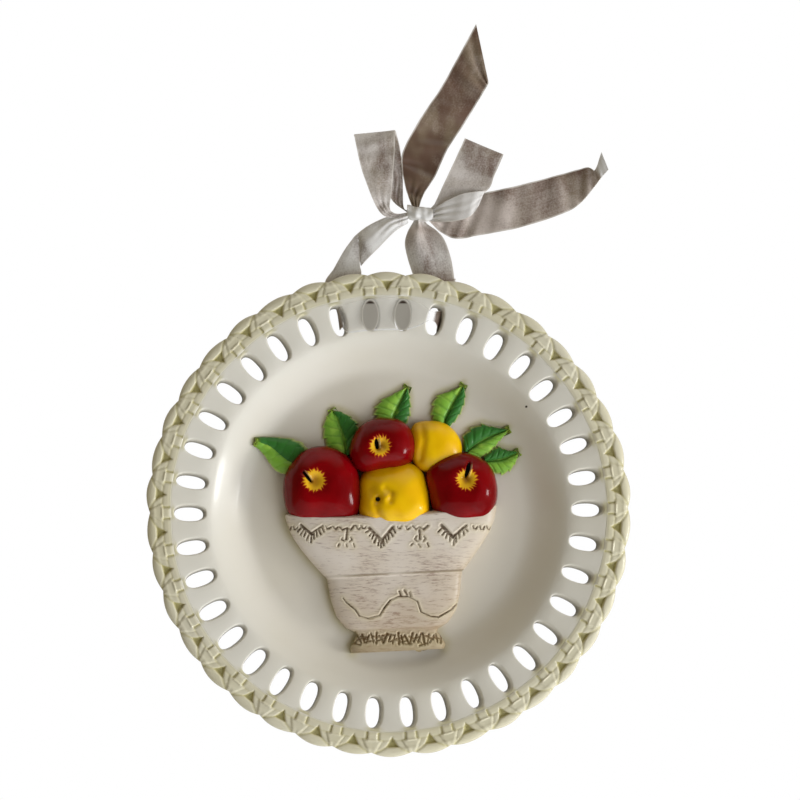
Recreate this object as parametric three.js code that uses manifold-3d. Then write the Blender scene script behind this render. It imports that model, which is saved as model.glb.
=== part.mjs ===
// Decorative wall plate: an openwork glazed plate with a fruit basket in relief, hung by a tied ribbon.
// Millimetres, Z up. The wall is the plane Y = 0 and the plate's front looks towards -Y.
// The origin is the point on the wall where the nail stands out, in the fork under the ribbon's knot.
// Shapes are drawn in the wall's own frame: x to the right, y up and z out from the wall.
import * as THREE from 'three';
import { mergeVertices } from 'three/addons/utils/BufferGeometryUtils.js';
import Module from 'manifold-3d';

const wasm = await Module();
wasm.setup();

// Plate: radii from its axis, depths from the wall.
const plateCentre = { x: -8.6, y: -119.7 };
const plateRadius = 100;
const wellRadius = 54;
const wellDepth = 7.5;
const rimInnerRadius = 74.4;
const rimDepth = 20.8;
const wallThickness = 5.3;
const footRing = { inner: 46.5, outer: 52.5, splay: 0.7, height: wellDepth - wallThickness };
const turnSegments = 48;
const cavettoSteps = 4;
const cavettoBackSteps = 2;
const weldDistance = 1e-3;
const cutOverrun = 1;

// Openwork: one oval hole for each lobe of the border.
const holeCount = 38;
const pitch = (2 * Math.PI) / holeCount;
const hole = { radius: 82.6, length: 13.1, width: 6.2, sides: 8 };

// Woven border.
const bandInnerRadius = 89.8;
const bandRise = 1.9;
const bandStep = 0.7;
const bandEdge = 1.3;
const notchDepth = 1.4;
const lobeSteps = 4;
const lipWidth = 3 * bandEdge;
const rootWidth = 4 * bandEdge;
const swellWidth = 2 * bandEdge;
const pit = { radius: 95.4, halfWidth: 3.1, length: 3.9, depth: 2.4, taper: 0.6 };
const tabGroove = { offset: 2.1, inner: 90.8, outer: 94, depth: 1 };
const notchGroove = { innerOffset: 4.2, innerRadius: 94.4, outerOffset: 2, outerRadius: 96.9, depth: 1 };

// Basket: half-widths at distances below its rim.
const basketTop = { x: 0.7, y: 2.7, dip: 6, dipReach: 20 };
const basketLean = 2.9 * (Math.PI / 180);
const basketProfile = [
  [45.2, 0],
  [43.5, 8],
  [39.6, 16],
  [35, 22],
  [29.6, 28],
  [28.2, 30],
  [27, 38],
  [25, 45],
  [21.5, 50],
  [16.8, 53],
  [20.5, 57],
  [19.6, 60.3],
];
const basketDepth = 11;
const basketSquareness = 2.5;
const basketSegments = 24;
const buriedDepth = 3;

// Fruit: centre, half-sizes, height above the well and the shift of the stem pit from the centre.
const apples = [
  { x: -27.8, y: 12.9, halfWidth: 16.3, halfHeight: 15.2, height: 15, pitX: -3, pitY: 1 },
  { x: -2.6, y: 28, halfWidth: 14, halfHeight: 11.8, height: 13.5, pitX: -1.8, pitY: 0.4 },
  { x: 30.5, y: 11.6, halfWidth: 15, halfHeight: 13.6, height: 15, pitX: 1.3, pitY: 3.2 },
];
const quinces = [
  { x: 2.4, y: 7.2, halfWidth: 13.9, halfHeight: 12, height: 11.5, pitX: -6, pitY: -1 },
  { x: 20.2, y: 27, halfWidth: 10.4, halfHeight: 11.6, height: 8.5, pitX: 0, pitY: 0 },
];
const appleProfile = [
  [0, 0.7],
  [0.28, 0.95],
  [0.5, 1],
  [0.76, 0.88],
  [0.94, 0.58],
  [1, 0.2],
];
const quinceProfile = [
  [0, 0.97],
  [0.6, 0.97],
  [0.92, 0.66],
  [1, 0.2],
];
const fruitSquareness = 2.3;
const fruitSegments = 16;

// Leaves: tip, base and greatest half-width.
const leaves = [
  { tip: [-56.6, 32.2], base: [-36.5, 18.5], halfWidth: 6.6 },
  { tip: [-24.4, 44.2], base: [-17, 25], halfWidth: 7 },
  { tip: [8.3, 54.2], base: [-1.2, 36.5], halfWidth: 6.6 },
  { tip: [31, 54.8], base: [20.6, 35.5], halfWidth: 6.6 },
  { tip: [49.8, 36.4], base: [31.5, 27.5], halfWidth: 6.2 },
  { tip: [54.6, 26], base: [41, 19.5], halfWidth: 5.2 },
];
const leafEdge = 1.3;
const leafCrown = 2.6;
const leafVein = 1.6;
const leafSteps = 6;
const leafTooth = 0.07;
const leafColumns = 4;
const leafTipShare = 0.06;
const leafBaseShare = 0.18;
const leafFade = 0.35;

// Ribbon: edges are the two selvages, each a place on the wall and a distance out from it.
const ribbonThickness = 0.6;
const ribbonClearance = 0.8;
const threadedHalfWidth = 5.2;
const spanSteps = 2;
const threadedHoles = 1.5 * pitch;
const behindSpread = 1.04;
const overSpread = 0.93;
const knot = { x: 4.8, y: 4.4, z: 8.6, halfX: 6.2, halfY: 3.6, halfZ: 4.4, segments: 10, rings: 6 };
const leftLeg = [
  [[1.5, 6, 9], [1.5, 2.4, 9]],
  [[-10.5, 3.5, 8], [-7.5, -3.6, 10]],
  [[-21, -2, 8.5], [-12.7, -7.6, 11]],
  [[-29.3, -12, 10], [-20.3, -15.5, 12]],
  [[-35, -24, 12], [-21, -22, 12]],
];
const rightLeg = [
  [[0.8, -21.5, 12], [18.2, -24.4, 12]],
  [[-1.9, -11.2, 11], [16.6, -12.9, 11]],
  [[-2.2, -6.6, 10.5], [13.4, -5.3, 9.5]],
  [[1, 0, 9.5], [7.6, 1.5, 9]],
  [[2, 2.6, 9], [6.5, 3.4, 9]],
];
const leftLoop = [
  [[1, 3.5, 8], [3, 6.5, 8]],
  [[-10, 13, 6], [-3.3, 11, 6]],
  [[-20, 26, 5], [-4.1, 25.3, 5]],
  [[-22.6, 37.4, 9], [-6, 39.4, 9]],
  [[-20.3, 26.1, 13], [-6.6, 25.3, 13]],
  [[-16.5, 17, 13], [-8, 14, 13]],
  [[-11, 7.5, 11.5], [-6.5, 9, 11.5]],
  [[1, 2.6, 9.4], [2, 5.6, 9.4]],
];
const rightLoop = [
  [[6, 6.4, 8], [9, 3, 8]],
  [[11.4, 12, 6], [21, 9, 6]],
  [[16.8, 23.6, 5], [32, 17.2, 5]],
  [[22.4, 36.1, 8], [38.6, 29.5, 8]],
  [[17.4, 23.4, 11], [32.6, 17, 11]],
  [[12, 12, 11], [23, 8.6, 11]],
  [[6.4, 6, 9.4], [9, 2.6, 9.4]],
];
const petal = [
  [[8, 5.4, 9.6], [8.6, 2.4, 9.6]],
  [[20.3, 11.8, 14], [21.6, 2.2, 15]],
  [[30.4, 14.2, 12.6], [28.6, 6.4, 12.6]],
  [[22, 11, 8.6], [22, 3, 8.6]],
  [[8, 5, 8], [8, 2, 8]],
];
const upperTail = [
  [[1.6, 5.6, 8], [5.4, 5, 8]],
  [[-4.2, 20.6, 6], [6.4, 16, 6.6]],
  [[1.6, 41.6, 6], [16.4, 32.8, 7]],
  [[14.6, 62.6, 7], [25.2, 47.6, 7]],
  [[27.4, 83.8, 8], [32.4, 59.8, 8]],
];
const rightTail = [
  [[7, 5, 8.4], [7, 2.4, 8.4]],
  [[19, 9.6, 6], [16.8, -5, 7.4]],
  [[31.1, 14.5, 5.4], [30, -3.6, 7.4]],
  [[52, 19.5, 6], [47, 0.4, 8]],
  [[72, 24.2, 7], [66, 6.6, 9]],
  [[78, 26.6, 10], [79.6, 18, 11.6]],
  [[79.5, 30.3, 14], [82.2, 23.7, 14]],
];

const ivoryGlaze = new THREE.MeshStandardMaterial({ color: 0xd8d3c4, roughness: 0.25, metalness: 0 });
const taupeCloth = new THREE.MeshStandardMaterial({ color: 0x938a80, roughness: 0.5, metalness: 0 });

/** The signed volume inside a triangle mesh: negative where its faces point inwards. */
function signedVolume(positions, triangles) {
  const corner = [new THREE.Vector3(), new THREE.Vector3(), new THREE.Vector3()];
  let total = 0;
  for (let i = 0; i < triangles.length; i += 3) {
    corner.forEach((point, k) => point.fromArray(positions, 3 * triangles[i + k]));
    total += corner[0].dot(corner[1].cross(corner[2])) / 6;
  }
  return total;
}

/** A solid body from a closed three.js geometry, with shared corners merged and faces pointing out. */
function solid(geometry) {
  const bare = new THREE.BufferGeometry();
  bare.setAttribute('position', geometry.getAttribute('position').clone());
  bare.setIndex(geometry.getIndex());
  const merged = mergeVertices(bare, weldDistance);
  const positions = merged.getAttribute('position').array;
  const index = merged.getIndex().array;
  const triangles = [];
  for (let i = 0; i < index.length; i += 3) {
    const [a, b, c] = index.slice(i, i + 3);
    if (a !== b && b !== c && c !== a) triangles.push(a, b, c);
  }
  if (signedVolume(positions, triangles) < 0) triangles.reverse();
  const mesh = { numProp: 3, vertProperties: positions, triVerts: Uint32Array.from(triangles) };
  return new wasm.Manifold(new wasm.Mesh(mesh));
}

function joined(bodies) {
  return bodies.reduce((whole, body) => whole.add(body));
}

function geometryOf(body) {
  const mesh = body.getMesh();
  const geometry = new THREE.BufferGeometry();
  geometry.setAttribute('position', new THREE.BufferAttribute(mesh.vertProperties, 3));
  geometry.setIndex(new THREE.BufferAttribute(mesh.triVerts, 1));
  geometry.computeVertexNormals();
  return geometry;
}

/** Moves every corner of a geometry by a function of its place. */
function reshaped(geometry, move) {
  const position = geometry.getAttribute('position');
  const point = new THREE.Vector3();
  for (let i = 0; i < position.count; i += 1) {
    point.fromBufferAttribute(position, i);
    move(point);
    position.setXYZ(i, point.x, point.y, point.z);
  }
  return geometry;
}

/** A turned body: a closed profile of [radius, depth] pairs spun about the plate's axis. */
function turned(profile, segments) {
  const points = profile.map(([radius, depth]) => new THREE.Vector2(radius, depth));
  return new THREE.LatheGeometry(points, segments).rotateX(Math.PI / 2);
}

/** Copies of a cutter drawn at the top of the plate, one turned to each hole. */
function atEachHole(geometry, offset = 0) {
  const copies = [];
  for (let i = 0; i < holeCount; i += 1) {
    copies.push(solid(geometry.clone().rotateZ((i + 0.5 + offset) * pitch)));
  }
  return joined(copies);
}

const smooth = (t) => t * t * (3 - 2 * t);

/** Depth of the plate's front face, from the well up the cavetto to the rim. */
function frontDepth(radius) {
  const t = (radius - wellRadius) / (rimInnerRadius - wellRadius);
  return wellDepth + (rimDepth - wellDepth) * smooth(THREE.MathUtils.clamp(t, 0, 1));
}

/** Points of the cavetto's curve from the well out to the rim, set back by a wall's thickness if asked. */
function cavetto(steps, setBack) {
  const points = [];
  for (let k = 1; k <= steps; k += 1) {
    const radius = wellRadius + (k / steps) * (rimInnerRadius - wellRadius);
    points.push([radius, frontDepth(radius) - setBack]);
  }
  return points;
}

function dish() {
  const lip = plateRadius - lipWidth;
  const back = [
    [0, footRing.height],
    [footRing.inner, footRing.height],
    [footRing.inner + footRing.splay, 0],
    [footRing.outer, 0],
    [footRing.outer + footRing.splay, footRing.height],
    ...cavetto(cavettoBackSteps, wallThickness),
    [lip, rimDepth - wallThickness],
  ];
  const front = [
    [lip, rimDepth + bandRise],
    [bandInnerRadius + bandStep, rimDepth + bandRise],
    [bandInnerRadius, rimDepth],
    ...cavetto(cavettoSteps, 0).reverse(),
    [wellRadius, wellDepth],
    [0, wellDepth],
  ];
  return solid(turned([...back, ...front], turnSegments));
}

/** The border's edge: a ring that swells into one lobe between each two holes. */
function border() {
  const top = rimDepth + bandRise;
  const back = rimDepth - wallThickness;
  const root = plateRadius - rootWidth;
  const profile = [
    [root, back],
    [plateRadius, back],
    [plateRadius, top - bandEdge],
    [plateRadius - bandEdge, top],
    [root, top],
    [root, back],
  ];
  const ring = turned(profile, holeCount * lobeSteps);
  const swell = (point) => {
    const radius = Math.hypot(point.x, point.y);
    if (radius < plateRadius - swellWidth) return;
    const turn = (Math.atan2(point.y, point.x) - Math.PI / 2) / pitch - 0.5;
    const fromNotch = turn - Math.floor(turn);
    const scale = 1 - (notchDepth * (2 * fromNotch - 1) ** 2) / plateRadius;
    point.x *= scale;
    point.y *= scale;
  };
  return solid(reshaped(ring, swell));
}

/** Oval cutters through the rim: round-ended, with straight sides. */
function ovalHoles() {
  const middle = rimDepth - wallThickness / 2;
  const length = wallThickness + 2 * bandRise + 2 * cutOverrun;
  const round = new THREE.CylinderGeometry(hole.width / 2, hole.width / 2, length, hole.sides);
  const straight = (hole.length - hole.width) / 2;
  const oval = reshaped(round.rotateX(Math.PI / 2), (point) => {
    if (Math.abs(point.y) > weldDistance) point.y += straight * Math.sign(point.y);
  });
  return atEachHole(oval.translate(0, hole.radius, middle));
}

/** Three-cornered pits between the strands, pointing to the plate's middle. */
function wovenPits() {
  const top = rimDepth + bandRise + cutOverrun;
  const depth = pit.depth + cutOverrun;
  const corner = (2 * pit.halfWidth) / Math.sqrt(3);
  const evenLength = 1.5 * corner;
  const prism = new THREE.CylinderGeometry(corner, pit.taper * corner, depth, 3).rotateX(Math.PI / 2);
  prism.scale(1, pit.length / evenLength, 1);
  return atEachHole(prism.translate(0, pit.radius, top - depth / 2), 0.5);
}

/** A straight groove of three-cornered section between two points of the border. */
function groove(from, to, depth) {
  const start = new THREE.Vector2(...from);
  const run = new THREE.Vector2(...to).sub(start);
  const reach = 2 * depth;
  const wedge = new THREE.CylinderGeometry(reach, reach, run.length(), 3).rotateY(Math.PI);
  wedge.rotateZ(run.angle() - Math.PI / 2);
  return wedge.translate(start.x + run.x / 2, start.y + run.y / 2, rimDepth + bandRise + depth);
}

/** Grooves that part the strands: two beside each tab and two running in from each notch. */
function strandGrooves() {
  const cuts = [];
  for (const side of [-1, 1]) {
    const tab = side * tabGroove.offset;
    const outer = side * notchGroove.outerOffset;
    const inner = side * notchGroove.innerOffset;
    cuts.push(atEachHole(groove([tab, tabGroove.inner], [tab, tabGroove.outer], tabGroove.depth)));
    const ends = [[outer, notchGroove.outerRadius], [inner, notchGroove.innerRadius]];
    cuts.push(atEachHole(groove(...ends, notchGroove.depth)));
  }
  return joined(cuts);
}

/** How far a unit superellipse reaches in the direction of an angle. */
function squareReach(angle, squareness) {
  const sum = Math.abs(Math.cos(angle)) ** squareness + Math.abs(Math.sin(angle)) ** squareness;
  return sum ** (-1 / squareness);
}

/** A dome of fruit on the well, with the pit of its stem drawn aside. */
function fruit(profile, { x, y, halfWidth, halfHeight, height, pitX, pitY }) {
  const closed = [...profile, [1, -buriedDepth / height], [0, -buriedDepth / height]];
  const dome = turned(closed, fruitSegments);
  return solid(reshaped(dome, (point) => {
    const radius = Math.hypot(point.x, point.y);
    const reach = squareReach(Math.atan2(point.y, point.x), fruitSquareness);
    const aside = (1 - radius) ** 2;
    point.x = x + halfWidth * reach * point.x + pitX * aside;
    point.y = y + halfHeight * reach * point.y + pitY * aside;
    point.z = wellDepth + height * point.z;
  }));
}

/** The footed basket: a turned outline pressed flat against the well, with a rim that dips in the middle. */
function basket() {
  const outline = [[0, 0], ...basketProfile, [0, basketProfile.at(-1)[1]]];
  const points = outline.map(([halfWidth, down]) => new THREE.Vector2(halfWidth, -down));
  const body = new THREE.LatheGeometry(points, basketSegments);
  const widest = basketProfile[0][0];
  reshaped(body, (point) => {
    const halfWidth = Math.hypot(point.x, point.z);
    const angle = Math.atan2(point.z, point.x);
    const reach = squareReach(angle, basketSquareness);
    const forward = basketDepth * Math.sqrt(halfWidth / widest) * reach * Math.sin(angle);
    const dip = basketTop.dip * Math.max(0, 1 + point.y / basketTop.dipReach);
    point.x *= reach;
    point.y -= dip * Math.max(0, forward / basketDepth);
    point.z = wellDepth + (forward < 0 ? (buriedDepth * forward) / basketDepth : forward);
  });
  return solid(body.rotateZ(basketLean).translate(basketTop.x, basketTop.y, 0));
}

/** A pointed leaf that follows the plate's surface, with a sunk midrib and toothed edges. */
function leaf({ tip, base, halfWidth }) {
  const start = new THREE.Vector2(...base);
  const run = new THREE.Vector2(...tip).sub(start);
  const side = new THREE.Vector2(-run.y, run.x).normalize();
  const blade = new THREE.BoxGeometry(leafColumns, leafSteps, 2, leafColumns, leafSteps, 1);
  return solid(reshaped(blade, (point) => {
    const step = point.y + leafSteps / 2;
    const t = step / leafSteps;
    const across = point.x / (leafColumns / 2);
    const tooth = step % 2 ? 1 + leafTooth : 1 - leafTooth;
    const swell = Math.sin(Math.PI * (leafBaseShare + (1 - leafBaseShare) * t));
    const reach = halfWidth * Math.max(leafTipShare, swell) * tooth * across;
    const bulge = Math.abs(across) === 0.5 ? leafCrown : across === 0 ? leafVein : leafEdge;
    const fade = 1 - leafFade * t;
    const onTop = point.z > 0;
    point.x = start.x + t * run.x + reach * side.x;
    point.y = start.y + t * run.y + reach * side.y;
    const surface = frontDepth(Math.hypot(point.x, point.y));
    point.z = surface + (onTop ? bulge * fade : -buriedDepth / 2);
  }));
}

function plateBody() {
  const whole = solid(geometryOf(dish().add(border())));
  const carved = whole.subtract(ovalHoles()).subtract(wovenPits()).subtract(strandGrooves());
  const relief = [
    basket(),
    ...apples.map((apple) => fruit(appleProfile, apple)),
    ...quinces.map((quince) => fruit(quinceProfile, quince)),
    ...leaves.map(leaf),
  ];
  return carved.add(joined(relief));
}

/** A thin strip between two selvages, given as pairs of edge points along its length. */
function strip(edges) {
  const vector = (point) => new THREE.Vector3(...point);
  const middles = edges.map(([left, right]) => vector(left).add(vector(right)).multiplyScalar(0.5));
  const halves = edges.map(([left, right]) => vector(right).sub(vector(left)).multiplyScalar(0.5));
  const middle = new THREE.CatmullRomCurve3(middles);
  const half = new THREE.CatmullRomCurve3(halves);
  const steps = spanSteps * (edges.length - 1);
  const band = new THREE.BoxGeometry(2, ribbonThickness, 1, 1, 1, steps);
  return solid(reshaped(band, (point) => {
    const t = point.z + 0.5;
    const across = half.getPoint(t);
    const face = middle.getTangent(t).cross(across).normalize();
    const side = point.x;
    const lift = point.y;
    point.copy(middle.getPoint(t)).addScaledVector(across, side).addScaledVector(face, lift);
  }));
}

/** The selvages where the ribbon crosses the rim, at an angle from the plate's top and a depth. */
function rimEdges(angle, depth) {
  const edge = (radius) => [
    plateCentre.x + radius * Math.sin(angle),
    plateCentre.y + radius * Math.cos(angle),
    depth,
  ];
  return [edge(hole.radius + threadedHalfWidth), edge(hole.radius - threadedHalfWidth)];
}

/** From the knot down the left leg, up through one hole, across the front, back and up the right leg. */
function threadedLength() {
  const behind = rimDepth - wallThickness - ribbonClearance;
  const inHole = rimDepth - wallThickness / 2;
  const over = rimDepth + 2 * ribbonClearance;
  return [
    ...leftLeg,
    rimEdges(-behindSpread * threadedHoles, behind),
    rimEdges(-threadedHoles, inHole),
    rimEdges(-overSpread * threadedHoles, over),
    rimEdges(0, over),
    rimEdges(overSpread * threadedHoles, over),
    rimEdges(threadedHoles, inHole),
    rimEdges(behindSpread * threadedHoles, behind),
    ...rightLeg,
  ];
}

function ribbonBody() {
  const ball = new THREE.SphereGeometry(1, knot.segments, knot.rings);
  const lump = ball.scale(knot.halfX, knot.halfY, knot.halfZ).translate(knot.x, knot.y, knot.z);
  const strips = [threadedLength(), leftLoop, rightLoop, petal, upperTail, rightTail].map(strip);
  return joined([solid(lump), ...strips]);
}

const plate = new THREE.Mesh(geometryOf(plateBody()), ivoryGlaze);
plate.name = 'plate';
plate.position.set(plateCentre.x, plateCentre.y, 0);

const ribbon = new THREE.Mesh(geometryOf(ribbonBody()), taupeCloth);
ribbon.name = 'ribbon';

const wallPlate = new THREE.Group();
wallPlate.add(plate, ribbon);
wallPlate.rotation.x = Math.PI / 2;

export default wallPlate;
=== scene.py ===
# %% [markdown]
# # Decorative wall plate
# The real object is a round plate of cast clay under an ivory glaze. Its rim is pierced with oval holes, its
# edge is worked like a woven border, a basket of fruit stands out of its well, and a ribbon tied in a bow
# hangs it on the wall. The CAD model is loaded first as a fixed frame.

# %% Load the fixed frame
from math import cos, pi, radians, sin, tau

import bmesh
import bpy
import numpy as np
from mathutils import Color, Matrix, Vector


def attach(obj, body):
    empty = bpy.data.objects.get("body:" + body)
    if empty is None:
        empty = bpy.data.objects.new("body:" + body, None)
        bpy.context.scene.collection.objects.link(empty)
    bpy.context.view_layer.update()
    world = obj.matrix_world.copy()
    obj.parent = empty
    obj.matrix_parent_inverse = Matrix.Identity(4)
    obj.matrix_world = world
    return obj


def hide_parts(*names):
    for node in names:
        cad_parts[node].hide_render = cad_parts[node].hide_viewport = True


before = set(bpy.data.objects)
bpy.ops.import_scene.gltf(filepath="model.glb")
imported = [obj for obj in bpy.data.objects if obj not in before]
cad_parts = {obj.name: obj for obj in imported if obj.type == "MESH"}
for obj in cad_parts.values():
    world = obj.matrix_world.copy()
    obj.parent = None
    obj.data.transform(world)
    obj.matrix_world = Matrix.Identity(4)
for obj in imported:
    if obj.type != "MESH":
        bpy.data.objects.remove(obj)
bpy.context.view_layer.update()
bpy.ops.object.select_all(action="DESELECT")
print("CAD nodes:", sorted(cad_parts))

# %% [markdown]
# ## How the pieces are drawn
# A plate is easiest to model lying on its back, in millimetres: x runs to the right, y up the wall and z out
# from the wall. Each finished piece is then stood up and scaled to metres, and that is applied to its mesh,
# so that its object stays at the origin. A few small helpers do what a hand does in the viewport: select one
# piece, read and move its vertices, and add and apply a modifier.

# %% Helpers for modelling
METRES = 0.001
WELD = 0.002
PLATE_CENTRE = Vector((-8.6, -119.7, 0.0))


def only(*pieces):
    """Selects these pieces alone, with the first one active."""
    bpy.ops.object.select_all(action="DESELECT")
    for piece in pieces:
        piece.select_set(True)
    bpy.context.view_layer.objects.active = pieces[0]


def named(name):
    """Leaves edit mode and names the piece that was just modelled."""
    if bpy.context.mode != "OBJECT":
        bpy.ops.object.mode_set(mode="OBJECT")
    piece = bpy.context.object
    piece.name = piece.data.name = name
    return piece


def places(piece):
    """The places of a piece's vertices, one row each."""
    rows = np.empty(3 * len(piece.data.vertices))
    piece.data.vertices.foreach_get("co", rows)
    return rows.reshape(-1, 3)


def move(piece, x, y, z):
    """Puts a piece's vertices at new places."""
    piece.data.vertices.foreach_set("co", np.stack([x, y, z], axis=1).ravel())
    piece.data.update()


def modify(piece, kind, **settings):
    """Adds one modifier to a piece and applies it."""
    only(piece)
    modifier = piece.modifiers.new(kind.title(), kind)
    for setting, value in settings.items():
        setattr(modifier, setting, value)
    bpy.ops.object.modifier_apply(modifier=modifier.name)


def mend(piece):
    """Merges a piece's doubled vertices and turns its faces outwards."""
    only(piece)
    bpy.ops.object.mode_set(mode="EDIT")
    bpy.ops.mesh.select_all(action="SELECT")
    bpy.ops.mesh.remove_doubles(threshold=WELD)
    bpy.ops.mesh.normals_make_consistent(inside=False)
    bpy.ops.object.mode_set(mode="OBJECT")


def triangles(piece):
    """How many triangles a piece's faces make."""
    return sum(len(face.vertices) - 2 for face in piece.data.polygons)


def grid(name, columns, rows):
    """A flat grid, and how far each of its vertices lies across and along it, from 0 to 1."""
    bpy.ops.mesh.primitive_grid_add(x_subdivisions=columns, y_subdivisions=rows, size=1)
    piece = named(name)
    flat = places(piece)
    return piece, flat[:, 0] + 0.5, flat[:, 1] + 0.5


def flow(points, t):
    """Places on a smooth curve through points, at shares t of its length from 0 to 1.

    The points are the same for every share, or a whole row of them, one for each share."""
    points = np.asarray(points, float)
    padded = np.concatenate([2 * points[:1] - points[1:2], points, 2 * points[-1:] - points[-2:-1]])
    steps = np.clip(np.asarray(t, float), 0, 1) * (len(points) - 1)
    first = np.minimum(steps.astype(int), len(points) - 2)
    s = (steps - first)[:, None]
    own = (np.arange(len(steps)),) if points.ndim == 3 else ()
    a, b, c, d = (padded[(first + k, *own)] for k in range(4))
    return b + 0.5 * s * (c - a + s * (2 * a - 5 * b + 4 * c - d + s * (3 * (b - c) + d - a)))


def smooth(t):
    """A soft step from 0 to 1."""
    t = np.clip(t, 0, 1)
    return t * t * (3 - 2 * t)


def ramp(value, edge, soft):
    """A soft step from 0 to 1 where a value passes an edge."""
    return smooth((value - edge) / soft + 0.5)


def bell(value, width):
    """A soft bump that is 1 where a value is 0 and falls away on both sides."""
    return np.exp(-((value / width) ** 2))


def smoothed(values, neighbours, mode):
    """Values in a row, each averaged with some neighbours on both sides."""
    window = np.hanning(2 * neighbours + 1)
    return np.convolve(np.pad(values, neighbours, mode=mode), window / window.sum(), mode="valid")


def gap_to(spots, start, end):
    """How far each spot lies from the straight stretch between two points."""
    run = np.subtract(end, start)
    share = np.clip((spots - start) @ run / (run @ run), 0, 1)
    return np.linalg.norm(spots - start - share[:, None] * run, axis=1)


def keep(piece, name, values):
    """Keeps one number for each vertex of a piece as an attribute that a finish can read."""
    layer = piece.data.attributes.new(name, "FLOAT", "POINT")
    layer.data.foreach_set("value", np.asarray(values, np.float32))


def hang(piece, centre=Vector()):
    """Stands a piece that was drawn lying face up against the wall, in metres."""
    only(piece)
    piece.rotation_euler = (pi / 2, 0, 0)
    piece.scale = (METRES,) * 3
    piece.location = METRES * Vector((centre.x, -centre.z, centre.y))
    bpy.ops.object.transform_apply(location=True, rotation=True, scale=True)
    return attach(piece, "root")


# %% [markdown]
# ## The view
# The camera is set up before the pieces, because the ribbon is drawn as it is seen in the picture. It stands
# a little below the plate's middle and to its left, close enough for the far side to look slightly smaller.

# %% Camera
FRAME_WIDTH, FRAME_CENTRE = 0.33175, Vector((-0.00421, -0.02, -0.07348))
DISTANCE, SENSOR = 0.9, 36.0
FROM_LEFT, FROM_BELOW = radians(1.8), radians(5.0)
bpy.ops.object.camera_add()
camera = bpy.context.object
camera.name = "camera"
away = Vector((-sin(FROM_LEFT) * cos(FROM_BELOW), -cos(FROM_LEFT) * cos(FROM_BELOW), -sin(FROM_BELOW)))
camera.location = FRAME_CENTRE + DISTANCE * away
camera.rotation_euler = (-away).to_track_quat("-Z", "Y").to_euler()
camera.data.sensor_width = SENSOR
camera.data.lens = SENSOR * DISTANCE / FRAME_WIDTH
bpy.context.scene.camera = camera
print("lens:", round(camera.data.lens), "mm")

# %% [markdown]
# ## The dish
# The well, the cavetto (the curve that climbs to the rim) and the back with its foot ring are round, as if
# thrown on a wheel. By hand this is one vertex, extruded along the profile and spun about the plate's axis.
# The spin takes twelve steps for each hole of the rim, so that its last ring meets the rim's own vertices.

# %% Sizes of the plate
HOLES = 38
BAY_STEPS = 12
HALF_BAY = 0.5
PITCH = tau / HOLES
WELL_RADIUS, WELL_DEPTH, CAVETTO, CAVETTO_SKEW = 56.0, 7.5, 21.8, 1.2
RIM_INNER, RIM_OUTER, RIM_DEPTH = 74.2, 89.7, 20.8
RIM_SLOPE, LEVEL_RADIUS = 0.15, 82.2
SHOULDER, SHOULDER_RADIUS = 0.02, 80.0
WALL = 5.3
FOOT_INNER, FOOT_OUTER = 46.5, 52.5
print("one bay of the rim is", round(PITCH * LEVEL_RADIUS, 2), "mm wide")


def rim_level(radius):
    """How far the rim's front stands out from the wall: it rises to its edge, from a round shoulder."""
    shoulder = SHOULDER * np.maximum(0, SHOULDER_RADIUS - radius) ** 2
    return RIM_DEPTH + RIM_SLOPE * (radius - LEVEL_RADIUS) - shoulder


def front_depth(radius):
    """How far the plate's front stands out from the wall, from the well up to the rim."""
    climb = smooth((radius - WELL_RADIUS) / CAVETTO) / smooth((RIM_INNER - WELL_RADIUS) / CAVETTO)
    return WELL_DEPTH + (rim_level(RIM_INNER) - WELL_DEPTH) * climb**CAVETTO_SKEW


def spun(name, profile):
    """Extrudes one vertex along a profile of (radius, depth) points and spins it about the plate's axis."""
    bpy.ops.mesh.primitive_plane_add(size=1, location=(0, 0, 0), enter_editmode=True)
    bpy.ops.mesh.merge(type="CENTER")
    bpy.ops.transform.translate(value=(0, *profile[0]))
    for start, end in zip(profile, profile[1:]):
        step = (0, end[0] - start[0], end[1] - start[1])
        bpy.ops.mesh.extrude_vertices_move(TRANSFORM_OT_translate={"value": step})
    bpy.ops.mesh.select_all(action="SELECT")
    bpy.ops.mesh.spin(steps=HOLES * BAY_STEPS, angle=tau, center=(0, 0, 0), axis=(0, 0, 1))
    bpy.ops.mesh.select_all(action="SELECT")
    bpy.ops.mesh.remove_doubles(threshold=WELD)
    return named(name)


# %% Spin the dish, front and back
well_radii = np.linspace(0, WELL_RADIUS, 42)[:-1]
cavetto_radii = np.linspace(WELL_RADIUS, RIM_INNER, 20)
front_profile = [(r, float(front_depth(r))) for r in (*well_radii, *cavetto_radii)]
dish_front = spun("dish_front", front_profile)

back_depth = WELL_DEPTH - WALL
foot_profile = [
    (0, back_depth), (24, back_depth), (FOOT_INNER - 0.7, back_depth), (FOOT_INNER, back_depth - 0.3),
    (FOOT_INNER + 0.5, 0.5), (FOOT_INNER + 1.1, 0), (FOOT_OUTER - 0.9, 0), (FOOT_OUTER - 0.1, 0.5),
    (FOOT_OUTER + 0.5, back_depth - 0.2),
]
back_profile = [(r, float(front_depth(r)) - WALL) for r in np.linspace(WELL_RADIUS, RIM_INNER, 12)]
dish_back = spun("dish_back", foot_profile + back_profile)
print("dish rings:", len(front_profile), "in front,", len(foot_profile + back_profile), "behind")

# %% [markdown]
# ## The openwork rim
# The rim has one oval hole in each of 38 equal bays. A Boolean would cut the holes but leave hard edges and
# long thin faces, and a poured glaze has neither. So one bay is made as a short tube of rings: it starts on
# the bay's border in front, rolls over the soft lip into the hole, narrows through the wall and spreads out
# again behind. An Array turned about the plate's axis repeats the bay around the rim.

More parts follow.
